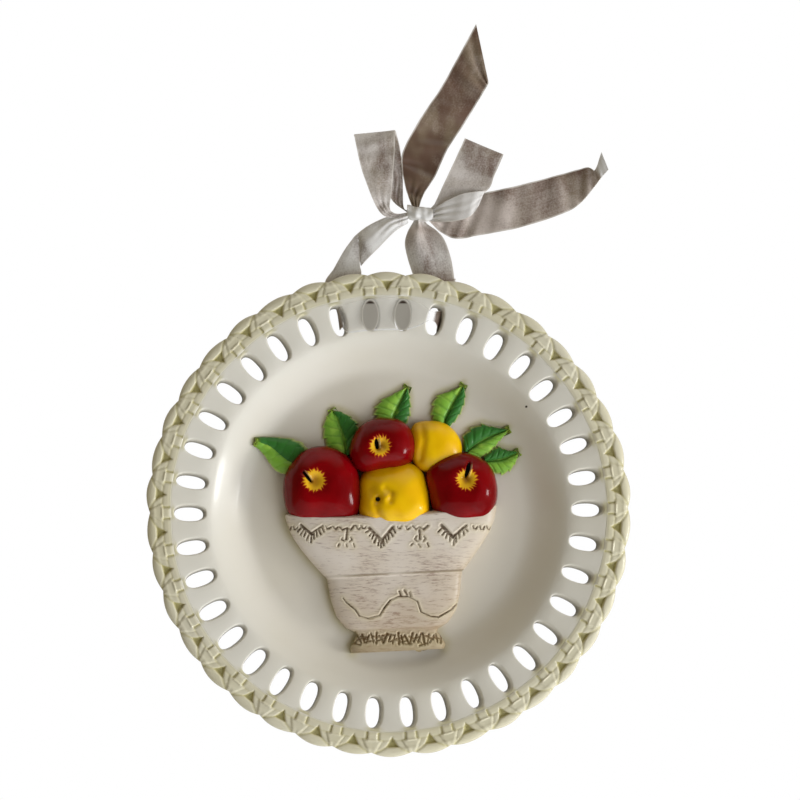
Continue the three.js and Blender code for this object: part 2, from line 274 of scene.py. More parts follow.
# %% One bay of the rim
HOLE_RADIUS, HOLE_HALF_WIDTH, HOLE_HALF_LENGTH = 82.1, 3.3, 6.45
HOLE_POWER = 2 / 2.4
LIP_RINGS = [
    (0.75, 0.75, 0.0), (0.42, 0.4, 0.06), (0.18, 0.17, 0.25), (0.03, 0.03, 0.6), (-0.06, -0.05, 1.1),
    (-0.5, -0.4, 4.5), (-0.5, -0.4, 4.95), (-0.3, -0.2, 5.2), (0.1, 0.2, WALL),
]


def bay_border(step):
    """Places around a bay's four edges, for steps that run anticlockwise from its inner right corner."""
    side, part = np.floor(step / BAY_STEPS).astype(int) % 4, (step / BAY_STEPS) % 1
    none, half = 0 * part, PITCH / 2
    angle = np.choose(side, [none + half, half - PITCH * part, none - half, PITCH * part - half])
    radius = RIM_INNER + (RIM_OUTER - RIM_INNER) * np.choose(side, [part, none + 1, 1 - part, none])
    return radius * np.sin(angle), radius * np.cos(angle)


def hole_ring(step, longer, wider):
    """Places around the hole, a little outside or inside its true edge."""
    angle = tau * step / (4 * BAY_STEPS) - pi / 4
    x, y = np.cos(angle), np.sin(angle)
    across = (HOLE_HALF_WIDTH + wider) * np.sign(x) * np.abs(x) ** HOLE_POWER
    up = (HOLE_HALF_LENGTH + longer) * np.sign(y) * np.abs(y) ** HOLE_POWER
    return across, HOLE_RADIUS + up


bay, around, through = grid("rim_bays", 4 * BAY_STEPS, len(LIP_RINGS) + 1)
step = np.round(around * 4 * BAY_STEPS)
ring = np.round(through * (len(LIP_RINGS) + 1)).astype(int)
x, y = bay_border(step)
drop = np.where(ring == 0, 0, WALL)
for number, (longer, wider, deeper) in enumerate(LIP_RINGS, start=1):
    lip_x, lip_y = hole_ring(step, longer, wider)
    here = ring == number
    x, y, drop = np.where(here, lip_x, x), np.where(here, lip_y, y), np.where(here, deeper, drop)
move(bay, x, y, rim_level(np.hypot(x, y)) - drop)
# How deep each vertex lies inside its hole; the glaze paints the hole walls darker by it, as painted shade.
keep(bay, "sunk", np.clip((drop - 1) / 2.5, 0, 1) * (drop < 5))
print("faces in one bay:", len(bay.data.polygons))

# %% Repeat it around the plate
bpy.ops.object.empty_add(rotation=(0, 0, PITCH))
turn = bpy.context.object


def repeat(piece, bays):
    """Turns a piece drawn at the top of the plate by some bays and repeats it around the axis."""
    only(piece)
    piece.rotation_euler = (0, 0, bays * PITCH)
    bpy.ops.object.transform_apply(rotation=True)
    modify(
        piece, "ARRAY", count=HOLES, use_relative_offset=False, use_object_offset=True, offset_object=turn
    )


repeat(bay, HALF_BAY)
print("faces in the rim:", len(bay.data.polygons))

# %% Join the turned parts into one closed plate
rim_top, rim_back = rim_level(RIM_OUTER), rim_level(RIM_OUTER) - WALL
band = spun("border", [
    (RIM_OUTER, rim_top), (RIM_OUTER + 0.3, rim_top - 0.5), (RIM_OUTER + 0.4, rim_top - 2),
    (RIM_OUTER + 0.4, rim_back + 0.3), (RIM_OUTER, rim_back),
])
only(dish_front, dish_back, bay, band)
bpy.ops.object.join()
plate = named("plate_glazed")
mend(plate)
edit = bmesh.new()
edit.from_mesh(plate.data)
print("open edges in the plate:", sum(1 for edge in edit.edges if len(edge.link_faces) != 2))
edit.free()

# %% [markdown]
# ## The woven border
# The border was pressed to look like basketwork. In each bay a tab climbs from the hole into a bell-shaped
# cap, a flat bar joins two tabs, slanting strands leave a three-cornered pit between two caps, and a round
# lobe makes the scalloped edge. It is all one low, soft relief, so it is one grid whose heights are a sum of
# soft steps and grooves, wrapped over the edge and closed behind. The olive wash that gathered in the low
# places follows the same grooves, and is kept as an attribute.

# %% Heights of one bay of the weave
WEAVE_COLUMNS, FRONT_ROWS, BACK_ROWS = 36, 46, 6
WEAVE_INNER, WEAVE_EDGE, NOTCH = 89.4, 100.0, 1.5
WEAVE_MIDDLE, WEAVE_LEVEL_FROM, TUCKED = 95, 90, 0.35
MID_BAY = PITCH * WEAVE_MIDDLE / 2
LOBE_WIDTH, LOBE_DROP = 2.8, 1.7
WEAVE_BACK = rim_back - 0.05

weave, bay_share, row_share = grid("woven_border", WEAVE_COLUMNS, FRONT_ROWS + BACK_ROWS)
aside = np.abs(bay_share - 0.5) * 2 * MID_BAY
row = np.round(row_share * (FRONT_ROWS + BACK_ROWS)).astype(int)
edge_radius = WEAVE_EDGE - NOTCH * (1 - aside / MID_BAY) ** 2
inward = 1 - np.minimum(row / FRONT_ROWS, 1)
radius = edge_radius - (edge_radius - WEAVE_INNER) * inward ** 1.25
spots = np.stack([aside, radius], axis=1)

tab = (1 - ramp(aside, 1.95, 0.5)) * (1 - ramp(radius, 93.8, 0.6))
cap_half = np.interp(radius, [93, 93.7, 97.6, 98.6], [4.0, 3.7, 1.6, 1.4])
cap = (1 - ramp(aside - cap_half, 0, 0.6)) * ramp(radius, 93.1, 0.6)
pit_half = 2.75 * (radius - 91.7) / 4.4
pit = ramp(pit_half - (MID_BAY - aside), 0.3, 1.1) * (1 - ramp(radius, 96.0, 0.9))
beside_tab = bell(aside - 2.4, 0.5) * ramp(radius, 90.2, 0.6) * (1 - ramp(radius, 93.2, 0.6))
under_cap = bell(radius - 93.3, 0.45) * ramp(aside, 2.4, 0.6)
strand_edge = bell(gap_to(spots, (1.5, 98.6), (5.3, 96.2)), 0.5)
cap_edge = bell(gap_to(spots, (3.9, 93.5), (1.5, 98.4)), 0.45)
bar_edge = bell(radius - 90.3, 0.5) * ramp(aside, 2, 0.5)

height = 0.24 + 0.35 * cap + 0.35 * tab + 0.2 * ramp(radius, 96.3, 1.4) - 1.3 * pit
height -= 0.45 * beside_tab + 0.18 * under_cap + 0.3 * strand_edge + 0.15 * cap_edge + 0.1 * bar_edge
height = height * ramp(radius, 90.3, 2.0) - TUCKED * (1 - ramp(radius, 89.7, 0.5))
rolled = np.clip((radius - edge_radius + LOBE_WIDTH) / LOBE_WIDTH, 0, 1)
height -= LOBE_DROP * (1 - np.sqrt(1 - rolled**2))
print("weave stands", round(float(height.max()), 2), "mm over the rim")

# %% Wrap it over the edge and around the plate
depth = rim_level(np.minimum(radius, WEAVE_LEVEL_FROM)) + height
wrapped = [(0, 2.8), (0, 1.2), (-0.3, 0.35), (-1.0, 0.0)]
for number, (inset, over_back) in enumerate(wrapped, start=1):
    here = row == FRONT_ROWS + number
    radius = np.where(here, edge_radius + inset, radius)
    depth = np.where(here, WEAVE_BACK + over_back, depth)
last = row >= FRONT_ROWS + len(wrapped) + 1
radius = np.where(last, WEAVE_INNER, radius)
depth = np.where(last, WEAVE_BACK, depth)
depth = np.where(row == FRONT_ROWS + BACK_ROWS, rim_level(WEAVE_INNER) - TUCKED, depth)
angle = (bay_share - 0.5) * PITCH
move(weave, radius * np.sin(angle), radius * np.cos(angle), depth)
wash = (
    pit + 0.6 * beside_tab + 0.45 * strand_edge + 0.2 * cap_edge
    + 0.3 * under_cap + 0.25 * bar_edge + 0.1 * tab
)
keep(weave, "wash", np.clip(np.where(row <= FRONT_ROWS, wash, 0), 0, 1))
repeat(weave, HALF_BAY)
bpy.data.objects.remove(turn)
mend(weave)
print("triangles in the weave:", triangles(weave))

# %% Hand-worked unevenness
HANGS_TURNED, HOLE_SLANT = radians(0.67), (0.2, 0.12)
UNEVEN_FROM, UNEVEN_SOFT = 72, 6


def unevenly(piece):
    """Turns the plate as it hangs, slants its holes and shifts its rim a little, as work by hand does."""
    x, y, z = places(piece).T
    radius, angle = np.hypot(x, y), np.arctan2(y, x) + HANGS_TURNED
    amount = smooth((radius - UNEVEN_FROM) / UNEVEN_SOFT)
    angle = angle + amount * (0.0028 * np.sin(5 * angle + 1) + 0.0022 * np.sin(17 * angle + 2))
    slant = ramp(radius, 75, 1) * (1 - ramp(radius, 89, 1)) * np.maximum(0, rim_level(radius) - z)
    radius = radius + amount * (0.16 * np.sin(7 * angle) + 0.14 * np.sin(23 * angle + 0.6))
    x, y = radius * np.cos(angle) - HOLE_SLANT[0] * slant, radius * np.sin(angle) - HOLE_SLANT[1] * slant
    move(piece, x, y, z + amount * 0.1 * np.sin(29 * angle))


for piece in (plate, weave):
    unevenly(piece)
    only(piece)
    bpy.ops.object.shade_smooth_by_angle(angle=radians(45))
print("triangles in the plate:", triangles(plate))

# %% [markdown]
# ## The basket
# The basket is a low relief with a flat front and rounded sides, a waist, a neck and a spreading foot. Its
# lace and its scroll were cut into the clay with a tool. A dense grid takes both: its rows follow the
# outline, and the strokes press it in, with a small ridge of pushed clay beside each. How deep each vertex is
# pressed, and how close to a cut it lies, are kept as attributes, because the brown stain stayed in the cuts.

# %% Outline of the basket
BASKET_TOP, BASKET_LEAN = (1.0, 0.5), radians(2.9)
BASKET_WIDTHS = [
    (0, 44.2), (2, 43.9), (6, 42.8), (10, 40.9), (14, 38.4), (20, 33.9), (25, 29.8), (26.4, 28.3),
    (27.4, 28.1), (35.6, 27), (42.6, 25), (47.6, 21.2), (49.8, 17), (50.8, 16.6), (52.6, 18), (56, 20),
    (58, 19.4),
]
BASKET_DEPTH, BASKET_SQUARENESS = 10.6, 4.0
RIM_DIP, RIM_DIP_REACH = 2.9, 20.0
BASKET_LENGTH, BASKET_LID = BASKET_WIDTHS[-1][0], 5.0
BASKET_COLUMNS, BASKET_ROWS = 256, 184

basket, across, up = grid("basket", BASKET_COLUMNS, BASKET_ROWS)
s = np.sin((across - 0.5) * pi)
depth_down = (1 - up) * (BASKET_LENGTH + BASKET_LID) - BASKET_LID
levels = np.linspace(0, BASKET_LENGTH, 400)
widths = np.interp(levels, *np.array(BASKET_WIDTHS).T)
widths = smoothed(widths, 5, "edge")
half_width = np.interp(depth_down, levels, widths)
stand = np.maximum(0, 1 - np.abs(s) ** BASKET_SQUARENESS) ** (1 / BASKET_SQUARENESS)
forward = BASKET_DEPTH * np.sqrt(half_width / widths[0]) * stand
forward -= 1.0 * smooth((depth_down - 25.8) / 1.4) * stand
lid = np.clip(-depth_down / BASKET_LID, 0, 1)
forward *= np.sqrt(1 - 0.96 * lid**2)
dip = RIM_DIP * np.clip(1 - depth_down / RIM_DIP_REACH, 0, 1) * (1 - s**2)
x, y = half_width * s, np.where(lid > 0, 2.0 * lid * stand, -depth_down) - dip
basket_x = BASKET_TOP[0] + x * cos(BASKET_LEAN) - y * sin(BASKET_LEAN)
basket_y = BASKET_TOP[1] + x * sin(BASKET_LEAN) + y * cos(BASKET_LEAN)
print("basket stands out by", round(float(forward.max()), 1), "mm")

# %% Strokes of the lace, the scroll and the foot
strokes, random = [], np.random.default_rng(7)


def stroke(*points, width=0.45, depth=0.5):
    """Adds a cut that runs through some points of the basket's front, with a hand's unsteadiness."""
    points = [np.add(point, random.uniform(-0.3, 0.3, 2)) for point in points]
    for start, end in zip(points, points[1:]):
        strokes.append((start, end, width * random.uniform(0.8, 1.15), depth * random.uniform(0.7, 1.2)))


def festoon(x, y, half, drop, ticks):
    """A point of lace: a V with a fan of short slanting cuts outside it."""
    stroke((x - half, y), (x, y - drop), width=0.6, depth=0.8)
    stroke((x, y - drop), (x + half, y), width=0.5, depth=0.55)
    for number in range(-ticks, ticks + 1):
        share = number / ticks
        top = (x + share * half * 0.98, y - drop * (1 - abs(share)) - 0.9)
        lean = 1.0 * share - 0.35
        stroke(top, (top[0] + lean, top[1] - 2.3 + 0.9 * abs(share)), width=0.36, depth=0.6)


def sprig(x, y):
    """A small forked motif between two points of lace."""
    stroke((x - 3.0, y + 0.9), (x - 1.6, y - 0.6), (x, y + 0.4), (x + 1.4, y - 0.7), (x + 3.2, y + 1.2))
    stroke((x, y - 0.4), (x - 0.2, y - 4.6), width=0.4)
    for side in (-1, 1):
        stroke((x + 1.6 * side, y - 3.4), (x + 2.3 * side, y - 4.4), (x + 1.2 * side, y - 5.2), width=0.34)
        stroke((x + 2.9 * side, y - 6.2), (x + 3.4 * side, y - 7.3), width=0.34)
    stroke((x - 0.5, y - 6.2), (x + 0.1, y - 7.6), width=0.34)


def curls(left, right, y, count):
    """A row of small hooked cuts."""
    for x in np.linspace(left, right, count):
        stroke((x - 0.9, y + 0.6), (x - 0.5, y - 0.5), (x + 0.5, y - 0.6), (x + 1.0, y + 0.4), width=0.36)


festoon(-32.2, -5.8, 4.4, 3.4, 4)
festoon(-3.3, -6.4, 5.0, 5.4, 5)
festoon(26.6, -5.8, 5.0, 4.6, 4)
sprig(-17.6, -7.0)
sprig(12.6, -6.8)
CURLS = [(-41.5, -38.6, 2), (-25.4, -22.4, 2), (-13, -10.6, 2), (4.2, 7.6, 2), (35.4, 41.4, 3)]
for left, right, count in CURLS:
    curls(left, right, -6.5, count)

for x in np.linspace(-19.5, 21.5, 24):
    low, high = -53.9 + random.uniform(-0.6, 0.4), -49.6 - random.uniform(0, 1.6)
    lean = random.uniform(-2.2, 2.2)
    stroke((x - lean / 2, low), (x + lean / 2, high), width=0.42, depth=0.7)
for x in np.linspace(-18, 20, 26):
    y, lean = random.uniform(-54.6, -50.6), random.uniform(-0.7, 0.7)
    stroke((x - 1.4, y - lean), (x + 1.4, y + lean), width=0.4, depth=0.6)

scroll = [
    (-19.2, -35.6), (-17.6, -37), (-14.2, -40.7), (-12.2, -43.1), (-8.7, -43.8), (-3.9, -42.4), (-2.1, -39.6),
    (0.3, -36.5), (3.7, -35.1), (7.9, -34.8), (11.4, -36.9), (13.4, -41), (16.9, -43.1), (20.7, -43.4),
    (25.9, -40.3), (28, -38.3),
]
stroke(*scroll, width=0.38, depth=0.5)
for leaf_x, leaf_y in [(4.2, -33), (6.4, -32.4), (8.4, -33.2)]:
    stroke((leaf_x, leaf_y), (leaf_x + 0.7, leaf_y - 1.5), width=0.5)
print("strokes cut into the basket:", len(strokes))

# %% Press the strokes in and close the basket
cut, ridge, lace = (np.zeros_like(basket_x) for layer in range(3))
here = np.stack([basket_x, basket_y], axis=1)
for start, end, width, depth in strokes:
    near = np.abs(here - np.add(start, end) / 2).max(axis=1) < np.abs(np.subtract(end, start)).max() / 2 + 4
    gap = gap_to(here[near], start, end)
    cut[near] = np.maximum(cut[near], depth * bell(gap, width))
    ridge[near] = np.maximum(ridge[near], bell(gap - 2.1 * width, 0.9 * width))
    lace[near] = np.maximum(lace[near], bell(gap, 1.5))
open_side = (depth_down > 0.4) * smooth(stand * 3)
z = WELL_DEPTH + forward + (0.17 * ridge * np.exp(-2 * cut) - cut) * open_side - 1.2 * (1 - smooth(stand * 4))
move(basket, basket_x, basket_y, z)
keep(basket, "stain", np.clip(cut * 1.9, 0, 1) * open_side)
keep(basket, "lace", lace * open_side)
modify(basket, "SOLIDIFY", thickness=3.0, offset=-1)
mend(basket)
bpy.ops.object.shade_smooth_by_angle(angle=radians(60))
print("triangles in the basket:", triangles(basket))

# %% [markdown]
# ## The fruit
# Three apples and two quinces are pressed domes. Each starts as a sphere, is cut off under its widest ring by
# a bisect, and is then spread to the outline that the fruit has on the plate: a list of points around it,
# read as a reach in every direction. Their lower edges are tucked behind the basket's rim. Stem slots, the
# dent of the front quince and its creases are pressed in along straight stretches, as the basket's cuts are.

# %% Domes of fruit
BURIED, CUT_LEVEL = 2.0, -0.2
FRUIT_SEGMENTS, FRUIT_RINGS = 144, 90


def reach_of(outline, centre):
    """A function that gives how far an outline reaches from a centre at any angle."""
    away = np.asarray(outline) - centre
    angles, lengths = np.arctan2(away[:, 1], away[:, 0]), np.linalg.norm(away, axis=1)
    order = np.argsort(angles)
    fine = np.linspace(-pi, pi, 361)
    reach = np.interp(fine, angles[order], lengths[order], period=tau)
    reach = smoothed(reach[:-1], 15, "wrap")
    return lambda angle: np.interp(angle, fine[:-1], reach, period=tau)


def fruit(name, centre, outline, height, stem, dimple, presses, fall=(0.0, 0.0)):
    """A dome with a given outline, its crown drawn to the stem and its creases pressed in."""
    bpy.ops.mesh.primitive_uv_sphere_add(segments=FRUIT_SEGMENTS, ring_count=FRUIT_RINGS, enter_editmode=True)
    bpy.ops.mesh.select_all(action="SELECT")
    bpy.ops.mesh.bisect(plane_co=(0, 0, CUT_LEVEL), plane_no=(0, 0, 1), use_fill=True, clear_inner=True)
    piece = named(name)
    x, y, z = places(piece).T
    plan = np.where(z > 0, np.hypot(x, y) ** 0.86, 1.0) * np.where(z < -0.19, np.hypot(x, y) / 0.98, 1.0)
    angle = np.arctan2(y, x)
    reach = reach_of(outline, centre)(angle) * plan
    drawn = (1 - np.minimum(plan, 1)) ** 2
    new_x = centre[0] + reach * np.cos(angle) + (stem[0] - centre[0]) * drawn
    new_y = centre[1] + reach * np.sin(angle) + (stem[1] - centre[1]) * drawn
    crown = np.maximum(z, 0) ** 0.72 - dimple * bell(plan, 0.24)
    crown = crown * (1 + fall[0] * (new_x - centre[0]) / 15 + fall[1] * (new_y - centre[1]) / 15)
    lumps = 0.16 * np.sin(0.55 * new_x + 1) * np.sin(0.5 * new_y) * np.minimum(1, 3 * np.maximum(z, 0))
    crown = height * crown + lumps
    spots = np.stack([new_x, new_y], axis=1)
    for points, width, depth in presses:
        gap = np.min([gap_to(spots, start, end) for start, end in zip(points, points[1:])], axis=0)
        crown = crown - depth * bell(gap, width) * (z > 0)
    move(piece, new_x, new_y, WELL_DEPTH + np.where(z > 0, crown, -BURIED * (z < -0.05)))
    mend(piece)
    bpy.ops.object.shade_smooth()
    return piece


APPLES = {
    "apple_left": dict(
        centre=(-27.9, 12.0), height=14.5, stem=(-31.0, 12.6), dimple=0.17,
        presses=[([(-35.4, 16.1), (-32.6, 12.5)], 0.8, 1.5), ([(-34.2, 15.9), (-31.2, 12.5)], 0.5, -0.5)],
        outline=[(-27.9, 27.8), (-35.4, 25.9), (-40, 21.4), (-43.3, 16), (-44.1, 10.6), (-43.7, 5.2),
                 (-42.4, 0), (-38.4, -4), (-30.4, -4.9), (-22.1, -4.9), (-14.6, -4), (-12, 0), (-11.8, 8.1),
                 (-12.2, 14.7), (-14.6, 20.5), (-18.8, 24.7), (-22.9, 27)]),
    "apple_top": dict(
        centre=(-2.6, 28.0), height=15.0, stem=(-4.3, 27.2), dimple=0.15,
        presses=[([(-5.5, 29.4), (-5.1, 26.4)], 0.9, 1.5), ([(-4.0, 29.4), (-3.6, 26)], 0.5, -0.5)],
        outline=[(-16.6, 25.9), (-15.9, 29.2), (-13.8, 33.8), (-10.9, 37.1), (-7.2, 39), (-1.4, 39.6),
                 (4, 39), (7.8, 36.7), (9.8, 33.8), (11.2, 30.5), (11.1, 24.7), (9.8, 21), (6.9, 19.3),
                 (0.3, 18), (-4.7, 17.2), (-10.5, 16.4), (-14.2, 18), (-16.3, 22.2)]),
    "apple_right": dict(
        centre=(30.3, 10.8), height=14.5, stem=(31.9, 13.7), dimple=0.17,
        presses=[([(33.1, 19.9), (31.6, 14.5)], 0.85, 1.4), ([(34.3, 19.5), (32.7, 14.3)], 0.5, -0.5)],
        outline=[(15.2, 16), (16.5, 18.9), (20.6, 22.6), (25.2, 24.5), (30.2, 25.3), (35.1, 24.3),
                 (39.7, 22.2), (43, 18.9), (45.1, 13.1), (45.6, 8.1), (44.8, 3), (41.4, -2.4), (36, -4.4),
                 (30.2, -5), (24.4, -4.4), (19.6, -2), (17.6, 3), (16.8, 8.9), (15.6, 12.2)]),
}
QUINCES = {
    "quince_front": dict(
        centre=(2.4, 8.2), height=12.6, stem=(0.5, 9.0), dimple=0.0, fall=(0.05, -0.3),
        presses=[
            ([(-4.8, 5.3), (-4.6, 5)], 1.2, 1.9), ([(-1.6, 9.6), (0.9, 7.6), (0.4, 4.4)], 1.4, 0.8),
            ([(-5.6, 3), (-4.6, 0), (-2.8, -4.4)], 1.5, 0.9), ([(-7, 9.4), (-4.6, 5.4)], 2.4, 0.9),
            ([(-0.8, 6), (-2.2, 5.4)], 1.3, -0.6),
        ],
        outline=[(-12, 14.7), (-12.4, 6), (-12.4, -3), (-4.7, -5.6), (3.6, -6.1), (12.7, -4.8), (17, -1.6),
                 (16.7, 4.8), (15.8, 11.4), (14.6, 16.4), (11, 20), (0, 21), (-9, 19)]),
    "quince_back": dict(
        centre=(19.8, 28.0), height=9.4, stem=(19.8, 28.0), dimple=0.0,
        presses=[([(13.5, 36), (14.5, 30), (13, 22)], 1.4, 0.8)],
        outline=[(9, 24), (8.6, 32), (10.2, 37.2), (12.7, 38.1), (16.9, 38.4), (21.9, 38), (26, 35.9),
                 (28.9, 32.6), (30.6, 28.8), (30.6, 24), (27, 18.5), (20, 16.5), (13, 17.5)]),
}
fruits = {name: fruit(name, **facts) for name, facts in {**APPLES, **QUINCES}.items()}
print("fruit:", {name: len(piece.data.polygons) for name, piece in fruits.items()})

# %% [markdown]
# ## The leaves
# Six toothed leaves spread over the well behind the fruit. A leaf is lofted between three lines: its two
# edges and its midrib, each a smooth curve from base to tip. The blade swells on both sides of the sunken
# midrib, side veins are pressed into it, and Solidify gives it the thickness that sinks into the plate.

# %% Leaves from their edges and midribs
LEAVES = {
    "leaf_1": dict(
        one=[(-35, 23), (-35, 26.2), (-36.4, 28.4), (-38.9, 29.7), (-42, 30.5), (-47.2, 30.9), (-52, 31),
             (-56, 30.6)],
        rib=[(-38.5, 20.5), (-41.6, 21.8), (-43.8, 23.4), (-47, 26.2), (-49.2, 28), (-51.6, 29.4),
             (-53.9, 30.2), (-56, 30.6)],
        two=[(-39.5, 19.8), (-42.4, 18.8), (-45.2, 19.2), (-47.6, 21.4), (-49.5, 24.2), (-51.6, 27),
             (-53.8, 29.2), (-56, 30.6)]),
    "leaf_2": dict(
        one=[(-20, 25), (-22.5, 27), (-25.2, 28.8), (-26.9, 32.2), (-27.3, 36.7), (-26.2, 40.9),
             (-23.8, 44.2)],
        rib=[(-18, 25), (-18.4, 29), (-19.2, 33), (-20.2, 36.1), (-21.3, 39.2), (-22.5, 42), (-23.8, 44.2)],
        two=[(-16, 25), (-13.6, 30.5), (-12.2, 35), (-13.2, 38.4), (-15.8, 41.1), (-19.5, 43.2),
             (-23.8, 44.2)]),
    "leaf_3": dict(
        one=[(-0.5, 37), (-3.9, 39.4), (-5.6, 42), (-5.4, 45), (-3, 48.2), (2, 51), (8, 54.2)],
        rib=[(1.7, 37), (1.9, 40.5), (2.8, 43.4), (4, 45.9), (5.3, 48.3), (6.7, 51.3), (8, 54.2)],
        two=[(4, 37), (7.2, 38.6), (8.8, 41.7), (9.2, 45.4), (9, 49.2), (8.5, 51.9), (8, 54.2)]),
    "leaf_4": dict(
        one=[(21.9, 36), (19, 38.9), (18.2, 42.1), (18.6, 46.3), (20.3, 50), (26.4, 52.5), (31.4, 54.7)],
        rib=[(23.1, 36), (23.9, 40.4), (25.4, 43.8), (27.1, 47.1), (28.8, 50), (30.2, 52.5), (31.4, 54.7)],
        two=[(24.4, 36), (27.4, 39), (29.8, 42.4), (31.5, 46.2), (32.2, 49.6), (32, 52.4), (31.4, 54.7)]),
    "leaf_5": dict(
        one=[(31.4, 27), (31.2, 32.6), (34.2, 36.1), (38.9, 38.2), (43, 37.4), (47.2, 36.7), (50.5, 36.1)],
        rib=[(32.9, 26.5), (35.6, 28.8), (38.9, 30.9), (42.2, 32.7), (45.1, 34), (48, 35.1), (50.5, 36.1)],
        two=[(34, 24.5), (37.6, 24.3), (41.5, 25.7), (44.5, 28.7), (46.6, 31.3), (49, 33.9), (50.5, 36.1)]),
    "leaf_6": dict(
        one=[(40, 24.5), (43.2, 27.2), (45.9, 28.8), (48.4, 27.9), (50.5, 27.3), (52.6, 27.2),
             (54.5, 26.5)],
        rib=[(40.5, 22.5), (44.7, 23), (47.2, 23.4), (49.3, 24), (51.3, 24.9), (53, 25.7), (54.5, 26.5)],
        two=[(40.5, 20), (43.6, 18.3), (47.2, 17.3), (50.6, 18.7), (52.8, 21.3), (54, 23.9), (54.5, 26.5)]),
}
LEAF_COLUMNS, LEAF_ROWS = 48, 84
TEETH, TOOTH_DEPTH, SIDE_VEINS, VEIN_SLANT = 6, 0.17, 6, 1.4
LEAF_SHIFT = np.array([0.0, -1.2])


def leaf(name, one, rib, two):
    """A blade between two edges, sunk along its midrib and swollen beside it."""
    piece, across, along = grid(name, LEAF_COLUMNS, LEAF_ROWS)
    side = 2 * across - 1
    far = np.abs(side)
    edge = np.where(side[:, None] < 0, flow(one, along), flow(two, along)) + LEAF_SHIFT
    middle = flow(rib, along) + LEAF_SHIFT
    tooth = (along * TEETH) % 1
    spread = far * (1 + TOOTH_DEPTH * (0.6 - tooth) * smooth(far * 2.5 - 1.5) * smooth((1 - along) * 8))
    spot = middle + spread[:, None] * (edge - middle)
    blade = 1.1 + 1.7 * np.sin(pi * np.minimum(far * 1.02, 1)) ** 0.7
    vein = np.abs(((along * SIDE_VEINS - far * VEIN_SLANT) % 1) - 0.5) * 2
    blade -= 0.35 * smooth((vein - 0.5) / 0.5) * np.minimum(1, 3 * far)
    blade -= 0.5 * bell(far, 0.08)
    blade *= 1 - 0.6 * along**2
    ground = front_depth(np.hypot(spot[:, 0], spot[:, 1]))
    move(piece, spot[:, 0], spot[:, 1], ground + blade)
    modify(piece, "SOLIDIFY", thickness=1.8, offset=-1)
    mend(piece)
    bpy.ops.object.shade_smooth_by_angle(angle=radians(60))
    return piece


leaves = {name: leaf(name, **lines) for name, lines in LEAVES.items()}
print("leaves:", len(leaves), "of", len(leaves["leaf_1"].data.polygons), "faces")
